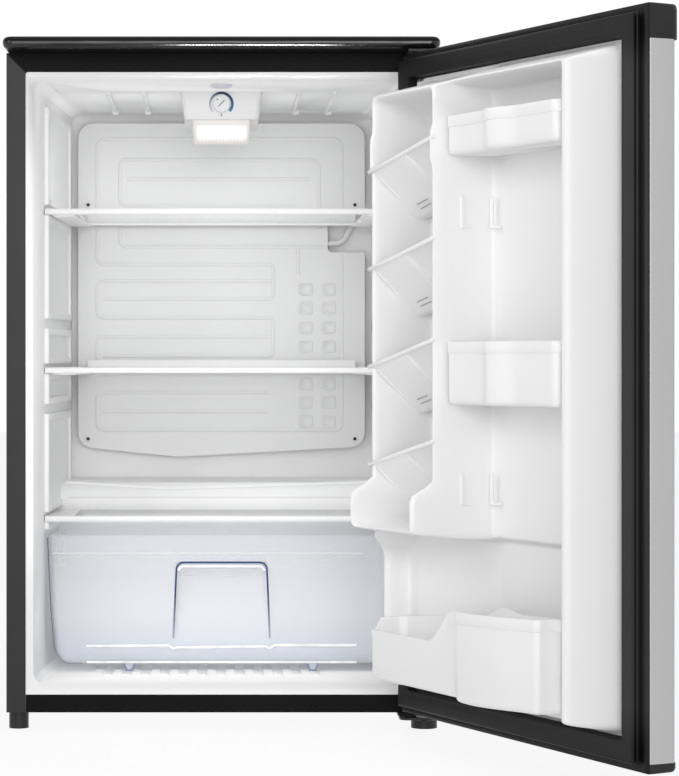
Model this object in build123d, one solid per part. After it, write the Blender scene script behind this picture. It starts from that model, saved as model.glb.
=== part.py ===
from build123d import *

import os

# A compact refrigerator with its door standing open, in millimetres.
# X runs to the right, Y from the cabinet's face towards its back, Z up from the floor.
# Everything is drawn from the plane of the cabinet's face, with the door closed.
# At the end the door swings open and the origin moves to the middle of the rear foot bar.

# Cabinet
WORKTOP_HEIGHT = 840
WORKTOP_THICKNESS = 14.5
WORKTOP_OVERHANG = 1
WORKTOP_EDGE_RADIUS = 6.5
WORKTOP_ROUND_SHARE = 0.45
WORKTOP_CORNER_RADIUS = 12
CABINET_WIDTH = 524
CABINET_DEPTH = 455
CABINET_LIFT = 22.4
SHEET = 1
POST_WIDTH = 23.3
TOP_BAR_HEIGHT = 23
SILL_HEIGHT = 21.6
JOIN_GAP = 0.3

# Inner liner
LINER_WALL = 2.5
FLANGE_SHOW = 9.1
FLANGE_TUCK = 6
SIDE_TAPER = 23.6
TOP_INSULATION = 34.5
FLOOR_INSULATION = 35.6
BACK_INSULATION = 37
LINER_CORNER = 14
STEP_HEIGHT = 232
STEP_DEPTH = 160
STEP_INSULATION = 30
CEILING_RIB_PLACES = (-143, -98, 98, 143)
CEILING_RIB_WIDTH = 4
CEILING_RIB_DROP = 4
CEILING_RIB_LENGTH = 250

# Shelves and their side rails
SHELF_SETBACK = 104
SHELF_THICKNESS = 7
SHELF_SIDE_GAP = 1.5
SHELF_REAR_GAP = 5
SHELF_SIDE_FRAME = 37
SHELF_FRONT_FRAME = 9
SHELF_GLASS = 4
SHELF_GLASS_LAP = 4
SHELF_UPSTAND = 9
SHELF_UPSTAND_WALL = 4
SHELF_UPSTAND_INSET = 24
UPPER_SHELF_DROP = 156
LOWER_SHELF_HEIGHT = 377
COVER_HEIGHT = 190
SPARE_SLOT_HEIGHTS = (326, 434)
RAIL_DEPTH = 6
RAIL_SETBACK = 108
RAIL_LENGTH = 252
RAIL_SLOT = 12
RAIL_TOP_GAP = 21
RAIL_PANEL_BORDER = 9
RAIL_PANEL_DEPTH = 3.5
COVER_LEDGE = 10
SEAT_GAP = 0.3

# Crisper drawer
DRAWER_SETBACK = 102
DRAWER_HEIGHT = 163
DRAWER_FOOT = 9.7
DRAWER_SIDE_GAP = 4.7
DRAWER_REAR_GAP = 8
DRAWER_DRAFT = 17
DRAWER_WALL = 2.2
DRAWER_CORNER = 12
DRAWER_FOOT_SPAN = 232
DRAWER_FOOT_SIZE = 20
GRIP_WIDTH = 117
GRIP_HEIGHT = 96
GRIP_LIFT = 33
GRIP_DEPTH = 18
GRIP_SPLAY = 5
GRIP_RADIUS = 14

# Evaporator
EVAPORATOR_SPACE = 16
EVAPORATOR_THICKNESS = 1.6
EVAPORATOR_SIDE_GAP = 10
EVAPORATOR_TOP_GAP = 15
EVAPORATOR_STEP_GAP = 27
EVAPORATOR_VEE = 13
EVAPORATOR_CORNER = 22
EVAPORATOR_SCREW_INSET = 14
EVAPORATOR_SCREW_DROP = 112
EVAPORATOR_SCREW_RISE = 13
EVAPORATOR_SPACER_RADIUS = 6
NOTCH_WIDTH = 51
NOTCH_HEIGHT = 53
NOTCH_DROP = 126
SUCTION_RADIUS = 4
SUCTION_BEND = 14
SUCTION_TAIL = 12.7
SUCTION_RUN = 17
SUCTION_LIFT = 8.8
SUCTION_RISE_PLACE = 34.7
SUCTION_RISE = 42.4
SUCTION_TOP = 54
SCREW_RADIUS = 2
SCREW_HEAD_RADIUS = 4.2
SCREW_HEAD_HEIGHT = 1.8
SCREW_HOLE_GAP = 0.2

# Control and light unit on the ceiling
CONTROL_SETBACK = 116
CONTROL_WIDTH = 105
CONTROL_DRAFT = 3
CONTROL_HEIGHT = 36
CONTROL_LENGTH = 170
CONTROL_WALL = 2
DIAL_DROP = 16
DIAL_RADIUS = 15.4
DIAL_THICKNESS = 0.4
KNOB_RADIUS = 11.3
KNOB_HEIGHT = 9
KNOB_SLOT = 2.4
KNOB_SLOT_LENGTH = 19.2
KNOB_SLOT_TURN = 45
KNOB_SLOT_DEPTH = 1.2
KNOB_GAP = 0.4
KNOB_SHAFT_RADIUS = 3
KNOB_SHAFT_GAP = 0.3
KNOB_SHAFT_LENGTH = 8
THERMOSTAT_WIDTH = 34
THERMOSTAT_HEIGHT = 24
THERMOSTAT_LENGTH = 32
LENS_WIDTH = 75
LENS_HEIGHT = 30
LENS_LENGTH = 120
LENS_INSET = 5
LENS_WALL = 1.6
LENS_DRAFT = 2
BULB_RADIUS = 7.5
BULB_LENGTH = 40
BULB_ROUND_SHARE = 0.9
SOCKET_SIZE = 16
SOCKET_LENGTH = 26

# Compressor bay
COMPRESSOR_RADIUS = 70
COMPRESSOR_HEIGHT = 132
COMPRESSOR_WALL = 3
COMPRESSOR_TOP_ROUND = 28
COMPRESSOR_PLACE = 40
COMPRESSOR_REAR_GAP = 12
COMPRESSOR_PLATE_WIDTH = 170
COMPRESSOR_PLATE_DEPTH = 116
COMPRESSOR_PLATE = 3
GROMMET_RADIUS = 9
GROMMET_HEIGHT = 15
GROMMET_INSET = 14
RELAY_WIDTH = 34
RELAY_DEPTH = 46
RELAY_HEIGHT = 62
RELAY_LIFT = 30
GLAND_RADIUS = 7
GLAND_BORE = 3.6
GLAND_LENGTH = 12
TRAY_WIDTH = 150
TRAY_DEPTH = 112
TRAY_HEIGHT = 24
TRAY_WALL = 2
DRAIN_RADIUS = 8
DRAIN_BORE = 6
DRAIN_GAP = 0.2
DRAIN_REACH = 8

# Condenser on the back
COIL_STANDOFF = 26.5
COIL_TUBE = 2.5
COIL_WIDTH = 380
COIL_PITCH = 48
COIL_BEND_SHARE = 0.45
COIL_RUNS = 11
COIL_LIFT = 38
COIL_DROP_INSET = 22
COIL_TAIL_INSET = 20
WIRE_RADIUS = 0.8
WIRE_COUNT = 14
WIRE_OVERHANG = 8
WIRE_SIDE_INSET = 29
WIRE_GAP = 0.02
BRACKET_WIDTH = 12
BRACKET_HEIGHT = 10
DRIER_RADIUS = 9
DRIER_LENGTH = 70
DRIER_ROUND = 4.5
DRIER_TOP = 205
CAPILLARY_RADIUS = 1.2
CAPILLARY_DROP = 34
TUBE_BEND = 16
DISCHARGE_HEIGHT = 70

# Feet
FOOT_SIDE_INSET = 13
FOOT_SETBACK = 30
LEFT_FOOT_RADIUS = 12
RIGHT_FOOT_RADIUS = 16
RIGHT_FOOT_HEIGHT = 10
FOOT_STUD_RADIUS = 4
FOOT_STUD_GAP = 0.3
REAR_BAR_INSET = 25
REAR_BAR_DEPTH = 24
REAR_BAR_END_INSET = 32

# Door
DOOR_SIDE_GAP = 3.5
DOOR_TOP_GAP = 6
DOOR_BOTTOM_GAP = 5.1
DOOR_THICKNESS = 39.5
DOOR_SPACE = 15
DOOR_CORNER = 9
DOOR_RETURN = 7
TOP_TRIM_HEIGHT = 37
BOTTOM_TRIM_HEIGHT = 16.5
TRIM_WALL = 2.5
DOOR_REST_ANGLE = 115
HINGE_SIDE_INSET = 13.3
HINGE_DEPTH = 22.5
HINGE_PIN_RADIUS = 4
HINGE_PIN_GAP = 0.3
HINGE_PIN_LENGTH = 14
HINGE_PLATE = 3
HINGE_PLATE_WIDTH = 34
HINGE_PLATE_REACH = 11
HINGE_TAB_CLEARANCE = 1.7
HINGE_TAB = 2
LOWER_PLATE_WIDTH = 46
LOWER_PLATE_DEPTH = 62
BUSHING_WALL = 2.5
BUSHING_COLLAR = 4

# Gasket
GASKET_MARGIN = 9
GASKET_WIDTH = 24
GASKET_THICKNESS = 14.2
GASKET_GROOVE = 3
GASKET_GROOVE_DEPTH = 7
GASKET_LIP = 8

# Door liner
DOOR_LINER_WALL = 2
BLOCK_MARGIN = 39
BLOCK_END_MARGIN = 36.5
BLOCK_DRAFT = 19
BLOCK_END_DRAFT = 10
BLOCK_DEPTH = 72
BLOCK_ROOT = 12
BLOCK_CORNER = 14
DYKE_CREST = 12
TOP_CREST = 11
MAIN_FLOOR = 4
LOW_FLOOR = 8
LOW_START = 52
LOW_SILL = 10
LOW_SILL_HEIGHT = 16
COLUMN_START = 79
COLUMN_WIDTH = 132
COLUMN_DEPTH = 80
COLUMN_FLOOR = 6
COLUMN_BOTTOM = 222
COLUMN_TOP_GAP = 48
COLUMN_CREST = 8
COLUMN_CORNER = 16
HOOK_WIDTH = 8
HOOK_HEIGHT = 36
HOOK_DEPTH = 3
HOOK_PLACES = (5, 40)
HOOK_LIFTS = (261.5, 572)

# Can cradles and tray
CRADLE_COUNT = 4
CRADLE_START = 82.5
CRADLE_TOP_DROP = 147
CRADLE_RISE = 31
CRADLE_FALL = 50
CRADLE_WALL = 3
CRADLE_BED_WALL = 3.6
CRADLE_FRONT_WALL = 4.2
CRADLE_BED = 24
CRADLE_LIP = 4
CRADLE_LIP_HEIGHT = 4.5
TRAY_REACH = 112
TRAY_CHEEK_HEIGHT = 52
TRAY_LIP = 10
CAN_TRAY_WALL = 2.5
CHEEK_RADIUS = 12

# Door bins
BIN_WALL = 2.2
BIN_GAP = 0.4
BIN_CORNER = 8
BIN_SMALL_REACH = 64
BIN_LARGE_REACH = 74
BIN_STEP_PLACE = 100
BIN_STEP_RUN = 16
UPPER_BIN_DROP = 138.5
UPPER_BIN_HEIGHT = 43
MIDDLE_BIN_LIFT = 375.5
MIDDLE_BIN_HEIGHT = 69
LOWER_BIN_LIFT = 51.5
LOWER_BIN_HEIGHT = 101
LOWER_BIN_LOW_RIM = 71
LOWER_BIN_RIM_RISE = 18
LOWER_BIN_SMALL_REACH = 70
LOWER_BIN_LARGE_REACH = 97
LOWER_BIN_STEP_PLACE = 220
LOWER_BIN_STEP_RUN = 24

# Places worked out from the sizes above
half_width = CABINET_WIDTH / 2
cabinet_top = WORKTOP_HEIGHT - WORKTOP_THICKNESS
cabinet_bottom = CABINET_LIFT
inside_half = half_width - SHEET
back_inside = CABINET_DEPTH - SHEET
base_top = cabinet_bottom + SHEET
mouth_half = half_width - POST_WIDTH - FLANGE_SHOW
cavity_back = CABINET_DEPTH - BACK_INSULATION
ceiling = cabinet_top - TOP_INSULATION
floor = cabinet_bottom + FLOOR_INSULATION
step_top = floor + STEP_HEIGHT
step_front = cavity_back - STEP_DEPTH
bay_top = step_top - STEP_INSULATION
bay_front = step_front + STEP_INSULATION
evaporator_front = cavity_back - EVAPORATOR_SPACE
rear_bar_y = CABINET_DEPTH - REAR_BAR_INSET
upper_shelf_height = ceiling - floor - UPPER_SHELF_DROP
door_front = -DOOR_SPACE - DOOR_THICKNESS
door_edge = half_width - DOOR_SIDE_GAP
door_width = 2 * door_edge
door_top = cabinet_top - DOOR_TOP_GAP
door_bottom = cabinet_bottom + DOOR_BOTTOM_GAP
hinge_x = door_edge - HINGE_SIDE_INSET
hinge_y = -DOOR_SPACE - HINGE_DEPTH
free_edge = door_width - BLOCK_MARGIN
column_end = COLUMN_START + COLUMN_WIDTH + COLUMN_CREST
dyke_inner = free_edge - BLOCK_DRAFT - DYKE_CREST
column_floor_height = door_bottom + COLUMN_BOTTOM
block_top = door_top - BLOCK_END_MARGIN
block_bottom = door_bottom + BLOCK_END_MARGIN


def span(x0, x1, y0, y1, z0, z1):
    """A box between two corners."""
    return Pos((x0 + x1) / 2, (y0 + y1) / 2, (z0 + z1) / 2) * Box(x1 - x0, y1 - y0, z1 - z0)


def door_span(u0, u1, p0, p1, z0, z1):
    """A box on the door: u from the hinge edge, p out of its inner face towards the cabinet."""
    return span(door_edge - u1, door_edge - u0, p0 - DOOR_SPACE, p1 - DOOR_SPACE, z0, z1)


def upright(x, y, z0, z1, radius):
    """A cylinder standing along Z."""
    return Pos(x, y, (z0 + z1) / 2) * Cylinder(radius, z1 - z0)


def lengthwise(x, z, y0, y1, radius):
    """A cylinder lying along Y."""
    return Pos(x, (y0 + y1) / 2, z) * Rot(90, 0, 0) * Cylinder(radius, y1 - y0)


def facing_rectangle(y, x0, x1, z0, z1, radius):
    """A rounded rectangle facing the front at one depth."""
    plane = Plane(origin=((x0 + x1) / 2, y, (z0 + z1) / 2), x_dir=(1, 0, 0), z_dir=(0, -1, 0))
    return (plane * RectangleRounded(x1 - x0, z1 - z0, radius)).face()


def facing_outline(points, y0, y1, radius=0):
    """A prism along Y from (x, z) points."""
    plane = Plane(origin=(0, y0, 0), x_dir=(1, 0, 0), z_dir=(0, -1, 0))
    face = make_face(Polyline(*points, close=True))
    if radius:
        face = fillet(face.vertices(), radius)
    return extrude(plane * face, amount=y1 - y0, dir=(0, 1, 0))


def side_outline(points, x0, x1):
    """A prism along X from (y, z) points."""
    plane = Plane(origin=(x0, 0, 0), x_dir=(0, 1, 0), z_dir=(1, 0, 0))
    return extrude(plane * make_face(Polyline(*points, close=True)), amount=x1 - x0)


def plan_outline(points, z0, z1, radius=0, shrink=0):
    """A prism along Z from (x, y) points, with its corners rounded and its outline drawn in."""
    face = make_face(Polyline(*points, close=True))
    if radius:
        face = fillet(face.vertices(), radius)
    if shrink:
        face = offset(face, -shrink)
    return Pos(0, 0, z0) * extrude(face, amount=z1 - z0, dir=(0, 0, 1))


def tube(points, radius, bend):
    """A round bar along straight runs joined by bends."""
    path = FilletPolyline(*points, radius=bend) if len(points) > 2 else Line(*points)
    return sweep(Plane(origin=path @ 0, z_dir=path % 0) * Circle(radius), path=path)


def wall_half(y):
    """Half the cavity's width at one depth."""
    return mouth_half - SIDE_TAPER * y / cavity_back


def cavity(inward, near=SHEET):
    """The inside of the liner, drawn in by some amount, from one depth to the back wall."""
    deep = cavity_back - inward
    low, high = floor + inward, ceiling - inward
    front = mouth_half - SIDE_TAPER * near / cavity_back - inward
    rear = mouth_half - SIDE_TAPER * deep / cavity_back - inward
    body = loft(
        [
            facing_rectangle(near, -front, front, low, high, LINER_CORNER - inward),
            facing_rectangle(deep, -rear, rear, low, high, LINER_CORNER - inward),
        ],
        ruled=True,
    )
    step = span(-half_width, half_width, step_front - inward, CABINET_DEPTH, 0, step_top + inward)
    return body - step


def mirrored(solid):
    """A solid and its mirror image across the middle of the cabinet."""
    return [solid, mirror(solid, about=Plane.YZ)]


def side_panel():
    """The right side panel: a sheet with a front return cut to a mitre under the worktop."""
    sheet = span(inside_half, half_width, 0, back_inside, cabinet_bottom, cabinet_top)
    inner = half_width - POST_WIDTH
    corner = cabinet_top - TOP_BAR_HEIGHT - JOIN_GAP
    outline = [
        (half_width, cabinet_bottom),
        (inner, cabinet_bottom),
        (inner, corner),
        (half_width, cabinet_top - JOIN_GAP),
    ]
    return sheet + facing_outline(outline, 0, SHEET)


def front_top_bar():
    inner = half_width - POST_WIDTH
    outline = [
        (-inside_half + JOIN_GAP, cabinet_top),
        (inside_half - JOIN_GAP, cabinet_top),
        (inner, cabinet_top - TOP_BAR_HEIGHT),
        (-inner, cabinet_top - TOP_BAR_HEIGHT),
    ]
    bar = facing_outline(outline, 0, SHEET)
    for place in hinge_tab_screws():
        bar -= lengthwise(place, hinge_tab_middle(), -1, 2 * SHEET, SCREW_RADIUS + SCREW_HOLE_GAP)
    return bar


def front_sill():
    reach = half_width - POST_WIDTH - JOIN_GAP
    return span(-reach, reach, 0, SHEET, cabinet_bottom, cabinet_bottom + SILL_HEIGHT)


def worktop():
    half = half_width + WORKTOP_OVERHANG
    slab = span(-half, half, door_front, CABINET_DEPTH, cabinet_top, WORKTOP_HEIGHT)
    corners = slab.edges().filter_by(Axis.Z).group_by(Axis.Y)[0]
    slab = fillet(corners, WORKTOP_CORNER_RADIUS)
    rims = slab.faces().group_by(Axis.Z)[-1].edges() + slab.faces().group_by(Axis.Z)[0].edges()
    rims = [edge for edge in rims if edge.center().Y < CABINET_DEPTH - 1]
    return fillet(rims, min(WORKTOP_EDGE_RADIUS, WORKTOP_ROUND_SHARE * WORKTOP_THICKNESS))


def back_panel():
    return span(-inside_half, inside_half, back_inside, CABINET_DEPTH, bay_top, cabinet_top)


def base_plate():
    plate = span(-inside_half, inside_half, SHEET, back_inside, cabinet_bottom, base_top)
    left = (-half_width + FOOT_SIDE_INSET, FOOT_SETBACK)
    return plate - upright(*left, 0, 2 * base_top, FOOT_STUD_RADIUS + FOOT_STUD_GAP)


def compressor_bay_panel():
    outline = [
        (bay_front, base_top),
        (bay_front, bay_top),
        (back_inside, bay_top),
        (back_inside, bay_top - SHEET),
        (bay_front + SHEET, bay_top - SHEET),
        (bay_front + SHEET, base_top),
    ]
    return side_outline(outline, -inside_half, inside_half) - drain_hole(DRAIN_RADIUS + DRAIN_GAP)


def drain_hole(radius):
    return upright(COMPRESSOR_PLACE, compressor_y(), 0, step_top + LINER_WALL, radius)


def flange():
    """The liner's front rim before it is opened, tucked behind the black frame."""
    reach = FLANGE_SHOW + FLANGE_TUCK
    half = mouth_half + reach
    return span(-half, half, SHEET, SHEET + LINER_WALL, floor - reach, ceiling + reach)


def cabinet_foam():
    block = span(-inside_half, inside_half, SHEET, back_inside, base_top, cabinet_top)
    bay = span(-half_width, half_width, bay_front, CABINET_DEPTH, 0, bay_top)
    foam = block - bay - cavity(-LINER_WALL) - flange()
    foam -= drain_hole(DRAIN_RADIUS + DRAIN_GAP)
    return foam


def rail_bands():
    """Heights of the raised bands between the shelf slots, from the top down."""
    slots = sorted((upper_shelf_height, LOWER_SHELF_HEIGHT, COVER_HEIGHT, *SPARE_SLOT_HEIGHTS))
    tops = [floor + height - SEAT_GAP for height in slots[1:]] + [ceiling - RAIL_TOP_GAP]
    bottoms = [floor + height - SEAT_GAP + RAIL_SLOT for height in slots]
    return list(zip(bottoms, tops))


def side_band(inner, outer, y0, y1, z0, z1):
    """A block along the right wall's slant, between two distances in from the wall."""
    near, far = wall_half(y0), wall_half(y1)
    outline = [(near - inner, y0), (near - outer, y0), (far - outer, y1), (far - inner, y1)]
    return plan_outline(outline, z0, z1)


def rails():
    """Raised bands on the side walls that the shelves run between, each with a sunk panel."""
    y0, y1 = RAIL_SETBACK, RAIL_SETBACK + RAIL_LENGTH
    border = RAIL_PANEL_BORDER
    inside = cavity(0)
    sunk = RAIL_DEPTH - RAIL_PANEL_DEPTH
    bands = []
    for z0, z1 in rail_bands():
        band = inside & side_band(RAIL_DEPTH, -LINER_WALL, y0, y1, z0, z1)
        panel = side_band(2 * RAIL_DEPTH, sunk, y0 + border, y1 - border, z0 + border, z1 - border)
        bands += mirrored(band - panel)
    top = floor + COVER_HEIGHT - SEAT_GAP
    ledge = inside & side_band(RAIL_DEPTH, -LINER_WALL, y0, step_front, top - COVER_LEDGE, top)
    return bands + mirrored(ledge)


def cabinet_liner():
    liner = cavity(-LINER_WALL) + flange() - cavity(0, near=0)
    for band in rails():
        liner += band
    y0 = CONTROL_SETBACK
    for place in CEILING_RIB_PLACES:
        x0 = place - CEILING_RIB_WIDTH / 2
        x1, y1 = x0 + CEILING_RIB_WIDTH, y0 + CEILING_RIB_LENGTH
        liner += span(x0, x1, y0, y1, ceiling - CEILING_RIB_DROP, ceiling)
    return liner - drain_hole(DRAIN_BORE)


def evaporator_half():
    return wall_half(evaporator_front) - EVAPORATOR_SIDE_GAP


def evaporator_screw_places():
    x = evaporator_half() - EVAPORATOR_SCREW_INSET
    high = ceiling - EVAPORATOR_TOP_GAP - EVAPORATOR_SCREW_DROP
    low = step_top + EVAPORATOR_STEP_GAP + EVAPORATOR_VEE + EVAPORATOR_SCREW_RISE
    return [(side * x, z) for side in (-1, 1) for z in (high, low)]


def evaporator_plate():
    half = evaporator_half()
    top = ceiling - EVAPORATOR_TOP_GAP
    tip = step_top + EVAPORATOR_STEP_GAP
    shoulder = tip + EVAPORATOR_VEE
    outline = [(-half, top), (half, top), (half, shoulder), (0, tip), (-half, shoulder)]
    y1 = evaporator_front + EVAPORATOR_THICKNESS
    plate = facing_outline(outline, evaporator_front, y1)
    corners = [edge for edge in plate.edges().filter_by(Axis.Y) if abs(edge.center().X) > 1]
    plate = fillet(corners, EVAPORATOR_CORNER)
    high = top - NOTCH_DROP
    plate -= span(half - NOTCH_WIDTH, half + 1, evaporator_front - 1, y1 + 1, high - NOTCH_HEIGHT, high)
    for x, z in evaporator_screw_places():
        plate -= lengthwise(x, z, evaporator_front - 1, y1 + 1, SCREW_RADIUS + SCREW_HOLE_GAP)
    return plate


def evaporator_spacers():
    spacers = []
    y0 = evaporator_front + EVAPORATOR_THICKNESS
    for x, z in evaporator_screw_places():
        spacer = lengthwise(x, z, y0, cavity_back, EVAPORATOR_SPACER_RADIUS)
        spacers.append(spacer - lengthwise(x, z, y0 - 1, cavity_back - 1, SCREW_RADIUS + SCREW_HOLE_GAP))
    return spacers


def evaporator_screws():
    screws = []
    for x, z in evaporator_screw_places():
        head = lengthwise(x, z, evaporator_front - SCREW_HEAD_HEIGHT, evaporator_front, SCREW_HEAD_RADIUS)
        screws.append(head + lengthwise(x, z, evaporator_front - 1, cavity_back - 2, SCREW_RADIUS))
    return screws


def suction_tube():
    y = evaporator_front + EVAPORATOR_THICKNESS + SUCTION_RADIUS + JOIN_GAP
    x1 = evaporator_half() - NOTCH_WIDTH
    z1 = ceiling - EVAPORATOR_TOP_GAP - NOTCH_DROP - NOTCH_HEIGHT
    points = [
        (x1 - SUCTION_TAIL, y, z1 + SUCTION_LIFT),
        (x1 + SUCTION_RUN, y, z1 + SUCTION_LIFT),
        (x1 + SUCTION_RISE_PLACE, y, z1 + SUCTION_RISE),
        (x1 + SUCTION_RISE_PLACE, y, z1 + SUCTION_TOP),
    ]
    return tube(points, SUCTION_RADIUS, SUCTION_BEND)


def control_bottom():
    return ceiling - CONTROL_HEIGHT


def control_form(inward):
    half, low = CONTROL_WIDTH / 2 - inward, control_bottom() + inward
    outline = [(-half, ceiling), (half, ceiling), (half - CONTROL_DRAFT, low), (-half + CONTROL_DRAFT, low)]
    return facing_outline(outline, CONTROL_SETBACK + inward, CONTROL_SETBACK + CONTROL_LENGTH - inward)


def dial_height():
    return ceiling - DIAL_DROP


def lens_form(inward):
    half, low = LENS_WIDTH / 2 - inward, control_bottom() - LENS_HEIGHT + inward
    y0 = CONTROL_SETBACK + LENS_INSET
    top = control_bottom()
    outline = [(-half, top), (half, top), (half - LENS_DRAFT, low), (-half + LENS_DRAFT, low)]
    return facing_outline(outline, y0 + inward, y0 + LENS_LENGTH - inward)


def control_housing():
    housing = control_form(0) - control_form(CONTROL_WALL)
    y0 = CONTROL_SETBACK + LENS_INSET + 2 * LENS_WALL
    half = LENS_WIDTH / 2 - 3 * LENS_WALL
    low = control_bottom()
    y1 = y0 + LENS_LENGTH - 4 * LENS_WALL
    housing -= span(-half, half, y0 + THERMOSTAT_LENGTH, y1, low - 1, low + 2 * CONTROL_WALL)
    bore = KNOB_SHAFT_RADIUS + KNOB_SHAFT_GAP
    inside = CONTROL_SETBACK + 2 * CONTROL_WALL
    return housing - lengthwise(0, dial_height(), CONTROL_SETBACK - 1, inside, bore)


def thermostat():
    y0 = CONTROL_SETBACK + CONTROL_WALL
    half = THERMOSTAT_WIDTH / 2
    z0 = dial_height() - THERMOSTAT_HEIGHT / 2
    body = span(-half, half, y0, y0 + THERMOSTAT_LENGTH, z0, z0 + THERMOSTAT_HEIGHT)
    bore = KNOB_SHAFT_RADIUS + KNOB_SHAFT_GAP
    return body - lengthwise(0, dial_height(), y0 - 1, y0 + KNOB_SHAFT_LENGTH, bore)


def dial_scale():
    disc = lengthwise(0, dial_height(), CONTROL_SETBACK - DIAL_THICKNESS, CONTROL_SETBACK, DIAL_RADIUS)
    return disc - lengthwise(0, dial_height(), 0, 2 * CONTROL_SETBACK, KNOB_RADIUS + KNOB_GAP)


def thermostat_knob():
    y1 = CONTROL_SETBACK - KNOB_GAP
    y0 = y1 - KNOB_HEIGHT
    z = dial_height()
    knob = lengthwise(0, z, y0, y1, KNOB_RADIUS)
    wide, long = KNOB_SLOT / 2, KNOB_SLOT_LENGTH / 2
    slot = span(-wide, wide, y0 - 1, y0 + KNOB_SLOT_DEPTH, -long, long)
    knob -= Pos(0, 0, z) * Rot(0, KNOB_SLOT_TURN, 0) * slot
    return knob + lengthwise(0, z, y1 - 1, y1 + KNOB_SHAFT_LENGTH, KNOB_SHAFT_RADIUS)


def light_lens():
    shell = lens_form(0) - lens_form(LENS_WALL)
    y0 = CONTROL_SETBACK + LENS_INSET
    half = LENS_WIDTH / 2 - LENS_WALL
    y1 = y0 + LENS_LENGTH - LENS_WALL
    low = control_bottom()
    return shell - span(-half, half, y0 + LENS_WALL, y1, low - 2 * LENS_WALL, low + 1)


def lamp_socket():
    z0 = control_bottom() + CONTROL_WALL
    y1 = CONTROL_SETBACK + CONTROL_LENGTH - CONTROL_WALL
    half = SOCKET_SIZE / 2
    return span(-half, half, y1 - SOCKET_LENGTH, y1, z0, z0 + SOCKET_SIZE)


def light_bulb():
    y1 = CONTROL_SETBACK + CONTROL_LENGTH - CONTROL_WALL - SOCKET_LENGTH
    z = control_bottom() + CONTROL_WALL + SOCKET_SIZE / 2
    glass = lengthwise(0, z, y1 - BULB_LENGTH, y1, BULB_RADIUS)
    return fillet(glass.edges().group_by(Axis.Y)[0], BULB_ROUND_SHARE * BULB_RADIUS)


def compressor_y():
    return back_inside - COMPRESSOR_REAR_GAP - COMPRESSOR_RADIUS


def compressor_base():
    return base_top + GROMMET_HEIGHT


def compressor_top():
    return compressor_base() + COMPRESSOR_PLATE + COMPRESSOR_HEIGHT


def compressor():
    x, y, z0 = COMPRESSOR_PLACE, compressor_y(), compressor_base()
    can = upright(x, y, z0 + COMPRESSOR_PLATE, compressor_top(), COMPRESSOR_RADIUS)
    can = fillet(can.edges().group_by(Axis.Z)[-1], COMPRESSOR_TOP_ROUND)
    inside = upright(
        x,
        y,
        z0 + COMPRESSOR_PLATE + COMPRESSOR_WALL,
        compressor_top() - COMPRESSOR_WALL,
        COMPRESSOR_RADIUS - COMPRESSOR_WALL,
    )
    inside = fillet(inside.edges().group_by(Axis.Z)[-1], COMPRESSOR_TOP_ROUND - COMPRESSOR_WALL)
    wide, deep = COMPRESSOR_PLATE_WIDTH / 2, COMPRESSOR_PLATE_DEPTH / 2
    plate = span(x - wide, x + wide, y - deep, y + deep, z0, z0 + COMPRESSOR_PLATE)
    return can + plate - inside


def compressor_grommets():
    wide = COMPRESSOR_PLATE_WIDTH / 2 - GROMMET_INSET
    deep = COMPRESSOR_PLATE_DEPTH / 2 - GROMMET_INSET
    places = [(a * wide, b * deep) for a in (-1, 1) for b in (-1, 1)]
    return [
        upright(COMPRESSOR_PLACE + x, compressor_y() + y, base_top, compressor_base(), GROMMET_RADIUS)
        for x, y in places
    ]


def relay_cover():
    x1 = COMPRESSOR_PLACE - COMPRESSOR_RADIUS + RELAY_WIDTH / 3
    y, z0 = compressor_y(), compressor_base() + RELAY_LIFT
    half = RELAY_DEPTH / 2
    box = span(x1 - RELAY_WIDTH, x1, y - half, y + half, z0, z0 + RELAY_HEIGHT)
    return box - upright(COMPRESSOR_PLACE, y, 0, 2 * compressor_top(), COMPRESSOR_RADIUS + JOIN_GAP)


def cord_gland():
    x = COMPRESSOR_PLACE - COMPRESSOR_RADIUS - RELAY_WIDTH / 3
    z = compressor_base() + RELAY_LIFT + RELAY_HEIGHT / 2
    y = compressor_y() + RELAY_DEPTH / 2
    ring = lengthwise(x, z, y, y + GLAND_LENGTH, GLAND_RADIUS)
    return ring - lengthwise(x, z, y + 1, y + GLAND_LENGTH + 1, GLAND_BORE)


def evaporation_tray():
    wide, deep = TRAY_WIDTH / 2, TRAY_DEPTH / 2
    x, y, z0 = COMPRESSOR_PLACE, compressor_y(), compressor_top()
    box = span(x - wide, x + wide, y - deep, y + deep, z0, z0 + TRAY_HEIGHT)
    wide, deep = wide - TRAY_WALL, deep - TRAY_WALL
    return box - span(x - wide, x + wide, y - deep, y + deep, z0 + TRAY_WALL, z0 + 2 * TRAY_HEIGHT)


def drain_tube():
    z0 = compressor_top() + TRAY_HEIGHT + DRAIN_REACH
    outer = upright(COMPRESSOR_PLACE, compressor_y(), z0, step_top - LINER_WALL, DRAIN_RADIUS)
    return outer - upright(COMPRESSOR_PLACE, compressor_y(), 0, step_top, DRAIN_BORE)


def coil_y():
    return CABINET_DEPTH + COIL_STANDOFF


def coil_heights():
    return [bay_top + COIL_LIFT + COIL_PITCH * run for run in range(COIL_RUNS)]


def coil_start():
    return (COIL_WIDTH / 2 - COIL_DROP_INSET, coil_y(), bay_top)


def coil_end():
    return (-COIL_WIDTH / 2 - COIL_TAIL_INSET, coil_y(), DRIER_TOP)


def condenser_coil():
    points = [coil_start()]
    side = -1
    half = COIL_WIDTH / 2
    for run, z in enumerate(coil_heights()):
        first = COIL_WIDTH / 2 - COIL_DROP_INSET if run == 0 else -side * half
        last = coil_end()[0] if run == COIL_RUNS - 1 else side * half
        points += [(first, coil_y(), z), (last, coil_y(), z)]
        side = -side
    points.append(coil_end())
    return tube(points, COIL_TUBE, COIL_BEND_SHARE * COIL_PITCH)


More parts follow.
